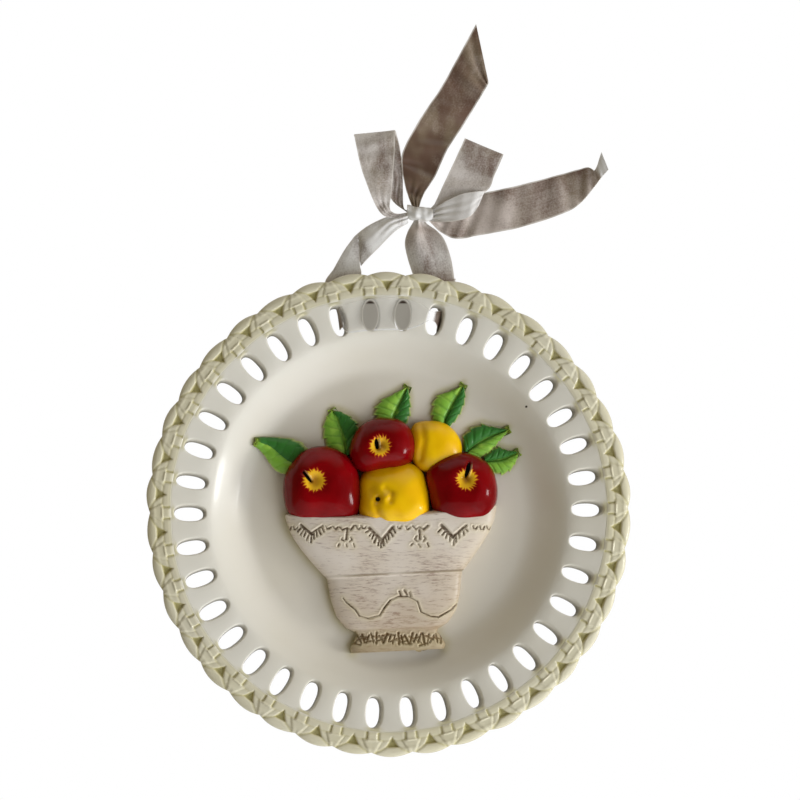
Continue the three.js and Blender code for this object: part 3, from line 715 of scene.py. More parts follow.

# %% [markdown]
# ## The ribbon
# One length of sheer ribbon is threaded through two holes of the rim, crosses its front between them, and is
# tied in a bow above. Cloth simulation would let the bow fall limp, and the real one stands crisp, so each
# run is lofted through rows of points across the ribbon, from the tie to its end. The points are measured on
# the picture, in millimetres from the nail, and each is laid on the camera's line of sight at its own depth.
# Two vertex attributes keep how sheer each run is, and how pale its painted sheen and shade make it.

# %% Runs of the bow
RIBBON_WIDTH, RIBBON_THICK = 16.7, 0.22
BOW = {
    "left_loop": [
        [(-0.8, 5.4, 8), (0.4, 5.8, 8)], [(-7.8, 11.3, 6.5), (-2.6, 7.7, 6.5)],
        [(-8.3, 20.1, 5), (-3, 19.1, 5.4)], [(-12.5, 29.5, 5), (-3.9, 30.5, 5.6)],
        [(-19.7, 35.7, 6), (-5.4, 37.4, 6.5)], [(-23, 37.9, 8.6), (-6.2, 39.7, 8.8)],
        [(-22.9, 36.4, 11.2), (-6.3, 38, 11.4)], [(-21.8, 31, 12.6), (-6.3, 31.5, 12.8)],
        [(-20.2, 24.1, 13.2), (-6.9, 23.2, 12.6)], [(-17.4, 16, 13.4), (-7.7, 13.4, 12.2)],
        [(-14, 8.2, 13), (-8.4, 7.7, 12)], [(-10.2, 4, 12), (-6.2, 5.2, 11.4)],
        [(-1.4, 3.4, 9.6), (-0.8, 5.2, 9.6)],
    ],
    "right_loop": [
        [(7, 6.2, 8), (8.6, 4.6, 8)], [(10.4, 9.5, 6.4), (17, 8.4, 6.4)],
        [(14.4, 18.2, 5), (31.4, 14.8, 5.4)], [(18.4, 26.6, 5), (35.2, 21.5, 5.4)],
        [(22.5, 35.8, 7.2), (38.6, 29.2, 7.6)], [(21.8, 34.2, 9.4), (37.8, 27.8, 9.8)],
        [(18.2, 26.4, 10.4), (35, 21.1, 10.8)], [(14, 17.5, 10.6), (31.4, 14.2, 10.8)],
        [(9.9, 8.7, 10.2), (16.6, 6.9, 10.4)], [(7.2, 5.4, 9.4), (8.4, 3.6, 9.4)],
    ],
    "petal": [
        [(7.3, 5.2, 9.8), (7.6, 2, 9.8)], [(12.5, 8.9, 12.4), (14.5, 1.7, 13.4)],
        [(20.8, 13, 13.8), (21.6, 2.6, 14.6)], [(27, 14.2, 13.6), (25.8, 4.8, 14)],
        [(30.9, 14.4, 11.8), (28.6, 9, 12)], [(27, 13.6, 10.2), (25.2, 5.4, 10.6)],
        [(20.8, 12, 9.4), (20.6, 3.4, 9.6)], [(8, 5, 8.6), (8, 2.4, 8.6)],
    ],
    "upper_tail": [
        [(1.4, 6.6, 8.6), (3.4, 6.4, 8.8)], [(-1.6, 15, 6.6), (5.6, 13, 7.4)],
        [(-3.4, 24, 6), (10.4, 20.6, 7.6)], [(-2.8, 31.4, 6.2), (15.6, 31.8, 6.8)],
        [(4.2, 44.4, 7.4), (22, 41.6, 6)], [(12.4, 56.6, 6.4), (28.4, 52, 7.4)],
        [(19.6, 69.4, 7), (31.6, 57.4, 8.2)], [(27.4, 83.8, 8.4), (32.6, 59.3, 8)],
    ],
    "right_tail": [
        [(7.2, 4.2, 8), (7.4, 2.6, 8)], [(14.5, 7.6, 6.6), (12.6, -2.4, 7.6)],
        [(23.5, 11.4, 6), (19.2, -5.3, 8)], [(31.6, 13.9, 5.6), (29, -3.8, 8)],
        [(41.5, 16, 6.2), (45.6, -0.6, 8.6)], [(56, 19.6, 6), (63.3, 5.1, 8.6)],
        [(68, 22.9, 6.4), (70.6, 9.4, 9)], [(73.9, 24.3, 7.4), (76.6, 16.4, 10)],
        [(76.8, 23.4, 10), (79.3, 20, 12)], [(79.4, 30.6, 12), (82.3, 23.4, 13)],
    ],
    "twist": [
        [(-1, 5.6, 10), (-1, 3.6, 11), (-0.8, 1.2, 10)],
        [(-9.3, 3.8, 10.6), (-8.6, 0.6, 12.6), (-6.4, -2.4, 12)],
        [(-17.1, 0.2, 10.8), (-14.9, -3.9, 13), (-12.4, -8.4, 12.4)],
        [(-21, -3.7, 10.4), (-19.6, -8.6, 12.6), (-17.6, -13.6, 12.4)],
        [(-21, -12, 11), (-20.8, -14.4, 12), (-20.4, -16.7, 12)],
    ],
}
print("runs of the bow:", list(BOW))

# %% The legs that carry the plate
LEFT_LEG = [
    [(-0.9, 4.2, 8.4), (-0.9, 3.4, 8.6), (-0.9, 2.6, 8.6), (-0.9, 1.8, 8.4)],
    [(-9.3, 3.3, 8), (-8.9, 2, 8.4), (-8.5, 1, 8.4), (-8.3, -0.1, 8)],
    [(-17.6, -0.2, 8.4), (-17.2, -1.6, 9), (-16.8, -2.8, 9), (-16.4, -4, 8.6)],
    [(-22.2, -3.6, 9.4), (-21.7, -4.2, 10), (-21.5, -4.9, 10.2), (-21.3, -5.6, 10)],
    [(-24, -5.6, 10.4), (-22.9, -6, 10.8), (-21.9, -6.5, 10.8), (-21.2, -7.4, 10.6)],
    [(-27.5, -10.5, 11.4), (-25.2, -10.2, 12), (-23.2, -9.8, 12), (-21.1, -9.2, 11.6)],
    [(-31.6, -17.7, 12), (-28, -17, 12.6), (-24.4, -16.6, 12.6), (-20.8, -16.2, 12.2)],
    [(-35.4, -24.5, 13), (-30.6, -24, 13.4), (-25.8, -23.4, 13.4), (-20.7, -22.6, 13)],
]
RIGHT_LEG = [
    [(1.9, -24.5, 13), (7.2, -24.4, 13.3), (12.8, -24.2, 13.3), (18.4, -24, 13)],
    [(1.4, -21, 12), (7, -21, 12.8), (12.6, -21.2, 12.8), (18.3, -21.4, 12)],
    [(-0.8, -14, 11), (5, -13.6, 12.8), (11.2, -13.4, 11.4), (17.1, -14, 11)],
    [(-2.1, -7.4, 10), (3, -6.2, 12.4), (8, -5.8, 9.4), (14.5, -6.2, 9.8)],
    [(-1, -2.6, 9.6), (3.2, -1.2, 11.6), (5.6, -1, 8.8), (11.4, -2.2, 9.4)],
    [(1.2, 1.3, 9.2), (3.4, 1.8, 10.4), (4.8, 2, 8.8), (7, 1, 9.2)],
    [(2, 3, 9), (3.4, 3.1, 9.2), (4.6, 3.2, 9.2), (6, 3, 9)],
]
KNOT_CENTRE, KNOT_HALF = (4.2, 4.8, 9.4), (5.4, 2.9, 3.4)


def knot_point(share, turned):
    """A place on the knot: a share of its half width from its middle, at an angle around it."""
    swell = 1.0 - 0.2 * share**2 + 0.1 * sin(5 * share + 2 * turned) + 0.08 * sin(4 * turned - 3 * share)
    return (
        KNOT_CENTRE[0] + share * KNOT_HALF[0],
        KNOT_CENTRE[1] + swell * KNOT_HALF[1] * cos(turned) - 0.5 * share + 0.8 * share**2,
        KNOT_CENTRE[2] + swell * KNOT_HALF[2] * sin(turned),
    )


knot = [[knot_point(share, turned) for share in np.linspace(-1, 1, 9)] for turned in np.linspace(0, tau, 25)]
print("rows in the legs and the knot:", len(LEFT_LEG), len(RIGHT_LEG), len(knot))

# %% Lay the points on the lines of sight
NAIL_ON_PICTURE = (4.15, 72.16)
to_right = Vector((0, 0, 1)).cross(away).normalized()
to_top = away.cross(to_right)


def as_seen(rows):
    """Moves points that were measured on the picture to where the camera sees them, at their own depths."""
    rows = np.asarray(rows, float)
    eye = np.array(camera.location) / METRES
    spot = np.array(FRAME_CENTRE) / METRES + (rows[..., :1] + NAIL_ON_PICTURE[0]) * np.array(to_right)
    sight = spot + (rows[..., 1:2] + NAIL_ON_PICTURE[1]) * np.array(to_top) - eye
    spot = eye + sight * (-rows[..., 2:] - eye[1]) / sight[..., 1:2]
    return np.concatenate([spot[..., :1], spot[..., 2:], rows[..., 2:]], axis=-1)


BEHIND, OVER = RIM_DEPTH - WALL - 0.8, RIM_DEPTH + 1.0
OVER_RIM = [
    (-14.6, 80, 88, BEHIND), (-14.2, 79, 88, RIM_DEPTH - WALL / 2), (-13, 76, 87.6, OVER),
    (-7, 75.3, 88.4, OVER + 0.3), (0, 75.1, 88.5, OVER + 0.3), (5, 75.5, 88.2, OVER + 0.3),
    (9, 77.8, 87.0, OVER + 0.7), (11.8, 80.8, 85.0, OVER + 0.8), (13.4, 81.2, 85.8, RIM_DEPTH - 1.5),
    (14.4, 80, 86.5, RIM_DEPTH - WALL / 2), (15, 79, 87, BEHIND),
]


def over_rim(degrees, inner, outer, depth):
    """A row of points across the ribbon where it crosses the rim, at an angle from the plate's top."""
    angle = radians(degrees)
    radii = np.linspace(outer, inner, 4)
    return [(PLATE_CENTRE.x + r * sin(angle), PLATE_CENTRE.y + r * cos(angle), depth) for r in radii]


threaded = [*as_seen(LEFT_LEG), *[over_rim(*place) for place in OVER_RIM], *as_seen(RIGHT_LEG)]
print("rows along the threaded length:", len(threaded))

# %% Loft the runs and join them
RUN_COLUMNS, ROWS_PER_POINT = 20, 10
PLEAT, PLEATS, PLEAT_REACH = 0.9, 3, 18.0


def run(name, rows, sheer, pale, ripple=0.0):
    """A strip of cloth lofted through rows of points, with attributes for how sheer it is and its painted
    sheen.
    """
    rows = np.asarray(rows, float)
    piece, across, along = grid(name, RUN_COLUMNS, ROWS_PER_POINT * (len(rows) - 1))
    lines = [flow(rows[:, k], along) for k in range(rows.shape[1])]
    spot = flow(lines, across)
    length = np.linalg.norm(np.diff(rows.mean(axis=1), axis=0), axis=1).sum()
    passed = along * length
    wave = np.sin(passed * 0.42 + across) * np.sin(pi * across) + 0.5 * np.sin(passed * 0.93 + 3 * across)
    loose = ripple * smooth(along * 6) * smooth((1 - along) * 12)
    gathered = np.clip(1 - np.linalg.norm(lines[-1] - lines[0], axis=1) / RIBBON_WIDTH, 0, 1)
    gathered *= bell(np.hypot(spot[:, 0] - KNOT_CENTRE[0], spot[:, 1] - KNOT_CENTRE[1]), PLEAT_REACH)
    folded = np.sin(PLEATS * tau * across + 1.5 * np.sin(passed * 0.3))
    pleats = PLEAT * gathered * np.sin(pi * across) * folded
    move(piece, spot[:, 0], spot[:, 1], spot[:, 2] + wave * loose + pleats)
    for key, value in {"sheer": sheer, "pale": pale}.items():
        keep(piece, key, value(along) if callable(value) else np.full(len(along), value))
    return piece, length


def sheer_over_rim(along):
    """The ribbon is almost clear where it lies over the rim, and closes up towards the tie."""
    return smooth((along - 0.365) / 0.03) * smooth((0.645 - along) / 0.03)


def pale_legs(along):
    """The left leg shines, the right one is darker and lit in its middle."""
    shares = [0, 0.25, 0.3, 0.66, 0.72, 0.84, 0.92, 1]
    return np.interp(along, shares, [1.0, 1.0, 0.0, 0.0, 0.2, 0.85, 0.35, 1.0])


def pale_end(along):
    """The right tail is painted pale, as sheen, where its end turns up."""
    return 0.4 + 1.2 * smooth((along - 0.86) / 0.1)


# pale sets how much painted sheen a run gets: higher is more silvery, below 0 it is painted darker.
BOW_LOOKS = {
    "left_loop": dict(sheer=0.0, pale=0.65, ripple=0.5),
    "right_loop": dict(sheer=0.0, pale=0.6, ripple=0.4),
    "petal": dict(sheer=0.3, pale=0.75, ripple=0.2),
    "upper_tail": dict(sheer=0.0, pale=-0.25, ripple=0.8),
    "right_tail": dict(sheer=0.0, pale=pale_end, ripple=0.6),
    "twist": dict(sheer=0.0, pale=1.1, ripple=0.2),
}
runs = [run("threaded_run", threaded, sheer_over_rim, pale_legs)]
runs += [run(name, as_seen(BOW[name]), **looks) for name, looks in BOW_LOOKS.items()]
runs.append(run("knot", as_seen(knot), sheer=0.1, pale=1.0))
# The twist is a fold of the left leg, so it adds no length of its own.
only(*[piece for piece, length in runs])
bpy.ops.object.join()
ribbon = named("ribbon_bow")
modify(ribbon, "SOLIDIFY", thickness=RIBBON_THICK, offset=0)
bpy.ops.object.shade_smooth_by_angle(angle=radians(60))

# %% [markdown]
# ## Shader maths as expressions
# The finishes are procedural: each is a small sum of distances, soft steps and noise. Wiring those by hand is
# slow to read, so one class wraps a socket, and an expression such as `1 - mask * 0.5` adds the Math nodes.
# Places in the finishes are in millimetres from the plate's axis, read from Object coordinates.

# %% The socket class
def paint(code):
    """A colour code as the linear colour that shaders take."""
    parts = [int(code[k : k + 2], 16) / 255 for k in (0, 2, 4)]
    return (*Color(parts).from_srgb_to_scene_linear(), 1.0)


class Shade:
    """A socket of a material's nodes, for shader maths written as expressions."""

    def __init__(self, tree, socket=None):
        self.tree, self.socket = tree, socket

    def node(self, kind, settings=None, values=None, out=0):
        """Adds a node, makes its settings, fills or links its sockets, and gives one of its outputs."""
        made = self.tree.nodes.new("ShaderNode" + kind)
        for name, value in (settings or {}).items():
            setattr(made, name, value)
        for name, value in (values or {}).items():
            if isinstance(value, Shade):
                self.tree.links.new(value.socket, made.inputs[name])
            else:
                made.inputs[name].default_value = value
        return Shade(self.tree, made.outputs[out])

    def math(self, operation, *values):
        return self.node("Math", {"operation": operation}, dict(enumerate(values)))

    def __add__(self, other):
        return self.math("ADD", self, other)

    def __sub__(self, other):
        return self.math("SUBTRACT", self, other)

    def __rsub__(self, other):
        return self.math("SUBTRACT", other, self)

    def __mul__(self, other):
        return self.math("MULTIPLY", self, other)

    def __truediv__(self, other):
        return self.math("DIVIDE", self, other)

    def __pow__(self, other):
        return self.math("POWER", self, other)

    def __abs__(self):
        return self.math("ABSOLUTE", self)

    __radd__, __rmul__ = __add__, __mul__

    def step(self, low, high):
        """A soft step from 0 at low to 1 at high."""
        ends = {"Value": self, "From Min": low, "From Max": high}
        return self.node("MapRange", {"interpolation_type": "SMOOTHSTEP"}, ends)

    def mix(self, one, other):
        """One colour, or colour code, where this mask is 0, and the other where it is 1."""
        one, other = (paint(colour) if isinstance(colour, str) else colour for colour in (one, other))
        mixed = {"Factor": self, 6: one, 7: other}
        return self.node("Mix", {"data_type": "RGBA"}, mixed, out=2)

    def parts(self):
        """The three parts of a vector."""
        split = self.node("SeparateXYZ", values={0: self}).socket.node
        return [Shade(self.tree, output) for output in split.outputs]

    def noise(self, scale, detail=3.0, roughness=0.5):
        """Noise from 0 to 1 on these coordinates."""
        values = {"Vector": self, "Scale": scale, "Detail": detail, "Roughness": roughness}
        return self.node("TexNoise", values=values)

    def kept(self, name):
        """The numbers that a piece's vertices keep under a name."""
        return self.node("Attribute", {"attribute_name": name}, out="Fac")

    def stretch(self, *scale):
        """These coordinates, scaled along each axis."""
        return self.node("VectorMath", {"operation": "MULTIPLY"}, {0: self, 1: scale})


def new_finish(name):
    """An empty material, with its main shader and a handle for expressions."""
    finish = bpy.data.materials.new(name)
    finish.use_nodes = True
    return finish, finish.node_tree.nodes["Principled BSDF"], Shade(finish.node_tree)


def wire(shader, **sockets):
    """Sets or links the main shader's sockets, with _ for a space in their names."""
    for name, value in sockets.items():
        socket = shader.inputs[name.replace("_", " ")]
        if isinstance(value, Shade):
            value.tree.links.new(value.socket, socket)
        else:
            socket.default_value = value


def on_plate(shade):
    """Object coordinates, and millimetres across, up and out from the plate's axis at the wall."""
    spot = shade.node("TexCoord", out="Object")
    x, y, z = spot.parts()
    return spot, x * 1000 - PLATE_CENTRE.x, z * 1000 - PLATE_CENTRE.y, y * -1000


def span(x, y):
    """The length of a stretch that goes so far across and so far up."""
    return (x * x + y * y) ** 0.5


def bumped(height, strength, distance=0.0002):
    """A normal from a height, for Normal sockets."""
    return height.node("Bump", values={"Strength": strength, "Distance": distance, "Height": height})


def dress(piece, finish):
    """Gives a piece its material, in its only slot."""
    piece.data.materials.clear()
    piece.data.materials.append(finish)


# %% [markdown]
# ## Glaze of the plate
# The glaze is a warm ivory, a little greyer on the rim, and painted darker inside its holes as the shade on
# their walls. Over the weave it carries a thin olive wash that gathered in the low places and along the
# relief; along the basket's left side, away from the light, that wash is also painted shade. The foot ring,
# where the plate stood in the kiln, is bare clay, and one dark speck stayed in the glaze at the upper right.

# %% Where the wash gathered
spots = places(plate)
radius = np.hypot(spots[:, 0], spots[:, 1])
from_hole = ((np.arctan2(spots[:, 1], spots[:, 0]) - pi / 2 - HANGS_TURNED) / PITCH) % 1 - 0.5
wash = 0.5 * ramp(radius, 88.2, 1.6) * (1 - ramp(np.abs(from_hole) * PITCH * radius, 3.0, 1.6))
inside = (radius < 76) & (spots[:, 2] > 5)
# Along the basket's left side, away from the light, this olive wash is also painted shade.
basket_wash_and_shade_edge = np.stack([basket_x, basket_y], axis=1)[np.abs(s) > 0.985][::9]
basket_wash_and_shade_edge = basket_wash_and_shade_edge[(basket_wash_and_shade_edge[:, 0] < -5) | (basket_wash_and_shade_edge[:, 1] < -48)]
edges = [(basket_wash_and_shade_edge, 3.0, 0.4)]
for lines in LEAVES.values():
    edges += [(flow(lines[key], np.linspace(0.25, 1, 24)), 1.8, 0.5) for key in ("one", "two")]
for line, spread, strength in edges:
    gap = np.min(np.linalg.norm(spots[inside][:, None, :2] - line[None], axis=2), axis=1)
    wash[inside] = np.maximum(wash[inside], strength * bell(gap, spread))
keep(plate, "wash", wash)
print("vertices with wash:", int((wash > 0.05).sum()))

# %% Ivory glaze with an olive wash
ivory_glaze, shader, shade = new_finish("ivory_glaze")
spot, x, y, out = on_plate(shade)
radius = span(x, y)
cloud = spot.noise(28.0, 4.0)
fine = spot.noise(260.0, 3.0)
body = radius.step(48, 84).mix("e0d9ca", "dedacd")
body = (cloud.step(0.35, 0.75) * 0.3).mix(body, "d2cab4")
woven = radius.step(89.2, 91.0) * out.step(15.6, 18.5)
body = (woven * (0.4 + cloud * 0.5)).mix(body, "d3cba6")
wash = shade.kept("wash")
body = (wash.step(0.0, 0.8) * (0.45 + fine * 0.5)).mix(body, "b5ab64")
body = (wash.step(0.65, 1.0) * 0.25).mix(body, "8a8044")
# Painted shade: the hole walls are painted darker the deeper they lie.
sunk = shade.kept("sunk")
body = (sunk * 0.8).mix(body, "6f6a58")
speck = 1 - ((x - 57.1) ** 2 + (y - 43.8) ** 2).step(0.05, 0.4)
body = (speck * out.step(8, 10)).mix(body, "3a2c20")
bare = 1 - out.step(0.3, 0.8)
body = bare.mix(body, "c9a98a")
wire(
    shader, Base_Color=body, Roughness=0.2 + bare * 0.5 + cloud * 0.08, Coat_Weight=0.1, Coat_Roughness=0.06,
    Specular_IOR_Level=0.32, Normal=bumped(cloud + fine * 0.15, 0.12),
)
for piece in (plate, weave):
    dress(piece, ivory_glaze)
    hang(piece, PLATE_CENTRE)
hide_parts("plate")
print("plate finish nodes:", len(ivory_glaze.node_tree.nodes))

# %% [markdown]
# ## Finishes of the relief
# The basket was whitewashed over brown: dry brush marks run across it and the brown stays in the cuts. Its
# right side is painted darker as shade, and the olive wash on its left side is partly painted shade. The
# apples are crimson with a toothed yellow star around a black stem slot, with a painted highlight on the
# slot's lip, the quinces lemon yellow with painted brown shade on their left and in the creases, and each
# leaf has one bright and one dark half, dark side veins, and a pale midrib and edge. Each fruit is painted
# darker near its base, partly as glaze pooled there and partly as painted shade.

# %% Whitewash over brown
whitewash, shader, shade = new_finish("basket_whitewash")
spot, x, y, out = on_plate(shade)
level = y - x * sin(BASKET_LEAN)
streaks = spot.stretch(190, 190, 1300).noise(1.0, 5.0, 0.7)
threads = spot.stretch(380, 380, 2400).noise(1.0, 3.0, 0.6)
patches = spot.noise(42.0, 3.0)
grit = spot.noise(700.0, 2.0)
stain = shade.kept("stain")
lace = shade.kept("lace")
dry = (streaks + (patches - 0.5) * 0.5).step(0.5, 0.68) * threads.step(0.34, 0.6)
body = patches.step(0.3, 0.7).mix("e0d6c9", "d3c6b4")
worn = 0.6 + level.step(-20, -46) * 0.4
body = (dry * worn).mix(body, "876a5e")
body = (streaks.step(0.62, 0.74) * threads.step(0.5, 0.6) * 0.8).mix(body, "5d4038")
low = level.step(-26, -46) * (0.15 + patches * 0.4)
body = low.mix(body, "b79f80")
# Painted shade: the right flank and the right side, where the light strikes hardest, are painted darker.
painted_flank_shade = (1 - out.step(10, 16.5)) * x.step(0, 12) * 0.7
body = painted_flank_shade.mix(body, "b8a485")
body = (x.step(18, 42) * 0.45).mix(body, "c4b498")
foot = level.step(-47.4, -48.6) * (0.25 + threads * 0.5)
body = foot.mix(body, "9a8060")
body = (lace * (0.15 + patches * 0.5)).mix(body, "d8cca6")
rubbed = (streaks * 0.6 + grit * 0.7).step(0.45, 0.75) * 0.45 + 0.5
brown = level.step(-46, -48).mix("59432d", "735836")
body = (stain.step(0.2, 0.8) * rubbed).mix(body, brown)
waist = 1 - abs(level + 25.6).step(0.15, 0.8)
body = (waist * patches.step(0.4, 0.6) * 0.75).mix(body, "7a6a4e")
# Olive wash at the base and under the foot; on the left side, away from the light, it is also painted shade.
olive_wash_and_shade = (1 - out.step(8.2, 11.5)) * (x * -1.0).step(-6, 10) + level.step(-50.5, -56.5) * 0.35
body = (olive_wash_and_shade * 0.6).mix(body, "b9ad78")
wire(
    shader, Base_Color=body, Roughness=0.42 + dry * 0.2, Coat_Weight=0.1, Coat_Roughness=0.15,
    Specular_IOR_Level=0.35, Normal=bumped(streaks * 0.6 + threads * 0.4 - stain * 0.4, 0.4),
)
dress(basket, whitewash)
hang(basket, PLATE_CENTRE)
print("basket finish nodes:", len(whitewash.node_tree.nodes))

# %% Crimson apples with a star and a stem slot
STARS = {
    "apple_left": dict(
        star=(-31.0, 12.9), size=4.4, slot=(-34.0, 14.3), half=(2.9, 0.7), lean=radians(-52), lit=0.4),
    "apple_top": dict(
        star=(-3.9, 27.1), size=4.1, slot=(-5.3, 27.9), half=(2.3, 0.9), lean=radians(-82), lit=0.75),
    "apple_right": dict(
        star=(31.9, 13.3), size=4.1, slot=(32.4, 17.2), half=(3.3, 0.9), lean=radians(-105), lit=0.25),
}
SPIKES = 19


def apple_glaze(name, star, size, slot, half, lean, lit):
    """Red glaze with a spiky yellow star at one place, a black stem slot at another, and a painted highlight
    by it.
    """
    finish, shader, shade = new_finish(name)
    spot, x, y, out = on_plate(shade)
    strokes = spot.noise(55.0, 4.0)
    body = strokes.step(0.3, 0.75).mix("6c0307", "8e050d")
    # Darker near the base: partly glaze pooled there, partly painted shade.
    body = (1 - out.step(WELL_DEPTH + 0.5, WELL_DEPTH + 4)).mix(body, "4c0409")
    from_x, from_y = x - star[0], y - star[1]
    away = span(from_x, from_y)
    angle = shade.math("ARCTAN2", from_y, from_x)
    wander = spot.noise(330.0, 2.0)
    spikes = abs(shade.math("SINE", angle * (SPIKES / 2) + wander * 7)) * 1.1 + wander * 1.6
    edge = away + spikes - 1.3
    body = ((1 - edge.step(size + 0.2, size + 0.9)) * 0.75).mix(body, "c2541a")
    gold = (away + (wander - 0.5) * 2).step(0.6, size * 0.8).mix("a9761c", "e3b022")
    body = (1 - edge.step(size - 0.25, size + 0.2)).mix(body, gold)
    slot_x, slot_y = x - slot[0], y - slot[1]
    long = (slot_x * cos(lean) + slot_y * sin(lean)) / half[0]
    wide = (slot_y * cos(lean) - slot_x * sin(lean)) / half[1]
    within = long * long + wide * wide
    # Painted highlight: a pale lip beside the slot, as bright as the light falling on it there (lit).
    painted_lip_highlight = (1 - (long * long + (wide - 1.3) * (wide - 1.3) * 2.6).step(0.5, 1.1)) * lit
    body = painted_lip_highlight.mix(body, "eddb9c")
    black = 1 - within.step(0.8, 1.1)
    body = black.mix(body, "060303")
    wire(
        shader, Base_Color=body, Roughness=0.16 + black * 0.6, Coat_Weight=0.08 - black * 0.08,
        Coat_Roughness=0.05, Specular_IOR_Level=0.13, Normal=bumped(strokes, 0.45, 0.0004),
    )
    return finish


for name, facts in STARS.items():
    dress(fruits[name], apple_glaze(name + "_glaze", **facts))
    hang(fruits[name], PLATE_CENTRE)
print("apples hung:", len(STARS))

# %% Lemon-yellow quinces
DENT = (-4.7, 5.15)


def quince_glaze(name, dent=None):
    """Yellow glaze, browner on its left as painted shade, with a black dot and creases in painted shade at a
    dent.
    """
    finish, shader, shade = new_finish(name)
    spot, x, y, out = on_plate(shade)
    strokes = spot.noise(60.0, 4.0)
    body = strokes.step(0.3, 0.7).mix("f2b802", "fbcd06")
    # Painted shade: the fruit is browner on its left, away from the light.
    if dent:
        left = (strokes * 9 - x - y * 0.4).step(4.0, 15.0)
    else:
        left = (strokes * 10 - x).step(-14, -5)
    body = (left * 0.5).mix(body, "dc9c0c")
    # Darker near the base: partly glaze pooled there, partly painted shade.
    body = (1 - out.step(WELL_DEPTH + 0.5, WELL_DEPTH + 4.5)).mix(body, "a06a0c")
    if dent:
        # Painted shade: the pressed creases are painted brown.
        for points, width, _ in QUINCES["quince_front"]["presses"][1:4]:
            for start, end in zip(points, points[1:]):
                run_x, run_y = end[0] - start[0], end[1] - start[1]
                along = ((x - start[0]) * run_x + (y - start[1]) * run_y) / (run_x**2 + run_y**2)
                along = along.node("Clamp", values={"Value": along})
                gap = ((x - start[0] - along * run_x) ** 2 + (y - start[1] - along * run_y) ** 2) ** 0.5
                body = ((1 - gap.step(0.0, width * 1.5)) * 0.26).mix(body, "a36c0c")
        body = (1 - span(x - dent[0], y - dent[1]).step(0.75, 1.25)).mix(body, "0d0703")
    wire(
        shader, Base_Color=body, Roughness=0.26 + strokes * 0.1, Coat_Weight=0.15, Coat_Roughness=0.1,
        Specular_IOR_Level=0.3, Normal=bumped(strokes, 0.25, 0.0004),
    )
    return finish


dress(fruits["quince_front"], quince_glaze("quince_front_glaze", dent=DENT))
dress(fruits["quince_back"], quince_glaze("quince_back_glaze"))
for name in QUINCES:
    hang(fruits[name], PLATE_CENTRE)
print("quinces hung:", len(QUINCES))

# %% Green leaves, painted in halves
def leaf_glaze(name, bright_side):
    """Green glaze on the leaf's own grid: a dark and a bright half, brushed patches and a pale edge."""
    finish, shader, shade = new_finish(name)
    spot = shade.node("TexCoord", out="Object")
    across, along, _ = shade.node("TexCoord", out="UV").parts()
    side = across * 2 - 1
    far = abs(side)
    strokes = spot.noise(190.0, 4.0)
    half = (side * bright_side + (strokes - 0.5) * 0.9).step(-0.2, 0.3)
    body = half.mix("397730", "83b840")
    body = (strokes.step(0.5, 0.72) * 0.7 * half).mix(body, "b4dd58")
    folded = along * SIDE_VEINS - far * VEIN_SLANT + 8
    vein = abs(shade.math("FRACT", folded) - 0.5) * 2
    body = (vein.step(0.6, 0.98) * 0.25).mix(body, "24581f")
    body = ((1 - far.step(0.02, 0.09)) * 0.5).mix(body, "a3cc66")
    body = (far.step(0.86, 0.98) * 0.75).mix(body, "bcc276")
    body = (along.step(0.88, 1.0) * 0.45).mix(body, "b9bb50")
    wire(
        shader, Base_Color=body, Roughness=0.3 + strokes * 0.1, Coat_Weight=0.05, Coat_Roughness=0.1,
        Specular_IOR_Level=0.25, Normal=bumped(strokes, 0.4),
    )
    return finish


BRIGHT_SIDES = {"leaf_1": 1, "leaf_2": -1, "leaf_3": -1, "leaf_4": -1, "leaf_5": 1, "leaf_6": 1}
for name, piece in leaves.items():
    dress(piece, leaf_glaze(name + "_glaze", BRIGHT_SIDES[name]))
    hang(piece, PLATE_CENTRE)
print("relief hung:", len(leaves) + len(fruits) + 1, "pieces")

# %% [markdown]
# ## Cloth of the ribbon
# The ribbon is woven so thin that it is almost clear over the glaze. Where it covers a hole, it is painted
# with the glaze's colour around it, grey painted shade within it and a dark painted shadow at its top. The
# rest
# is taupe with painted sheen: silvery patches and lighter and darker mottling, more silvery where a run is
# pale.
# Its selvages are pale threads.

# %% Sheer taupe cloth
taupe_cloth, shader, shade = new_finish("taupe_ribbon")
spot, x, y, _ = on_plate(shade)
flat = shade.node("TexCoord", out="UV")
side = flat.parts()[0] * 2 - 1
sheer = shade.kept("sheer")
pale = shade.kept("pale")
patches = spot.noise(38.0, 3.0, 0.5)
painted_fold_shade = spot.stretch(1.0, 1.0, 0.5).noise(95.0, 2.0, 0.5)
crinkle = spot.stretch(1.0, 1.0, 0.6).noise(170.0, 3.0, 0.6)
grain = spot.noise(1500.0, 2.0)
weft = flat.stretch(26, 3, 1).noise(1.0, 4.0, 0.6)
# Painted sheen: the cloth is painted silvery where this is high, most on pale runs.
painted_sheen = (
    patches * 0.7 + painted_fold_shade * 0.35 + weft * 0.15 + (crinkle - 0.5) * 0.3 + (grain - 0.5) * 0.25
    + pale * 0.22 - 0.08
)
# Painted shade and sheen: the taupe is mottled darker and lighter.
body = painted_fold_shade.step(0.35, 0.65).mix("6d5547", "877660")
painted_sheen_colour = pale.step(0.2, 1.0).mix("c9bbb0", "e9e7e2")
body = (painted_sheen.step(0.42, 0.82) * 0.95).mix(body, painted_sheen_colour)
COVER_SHIFT = (0.3, 0.4)
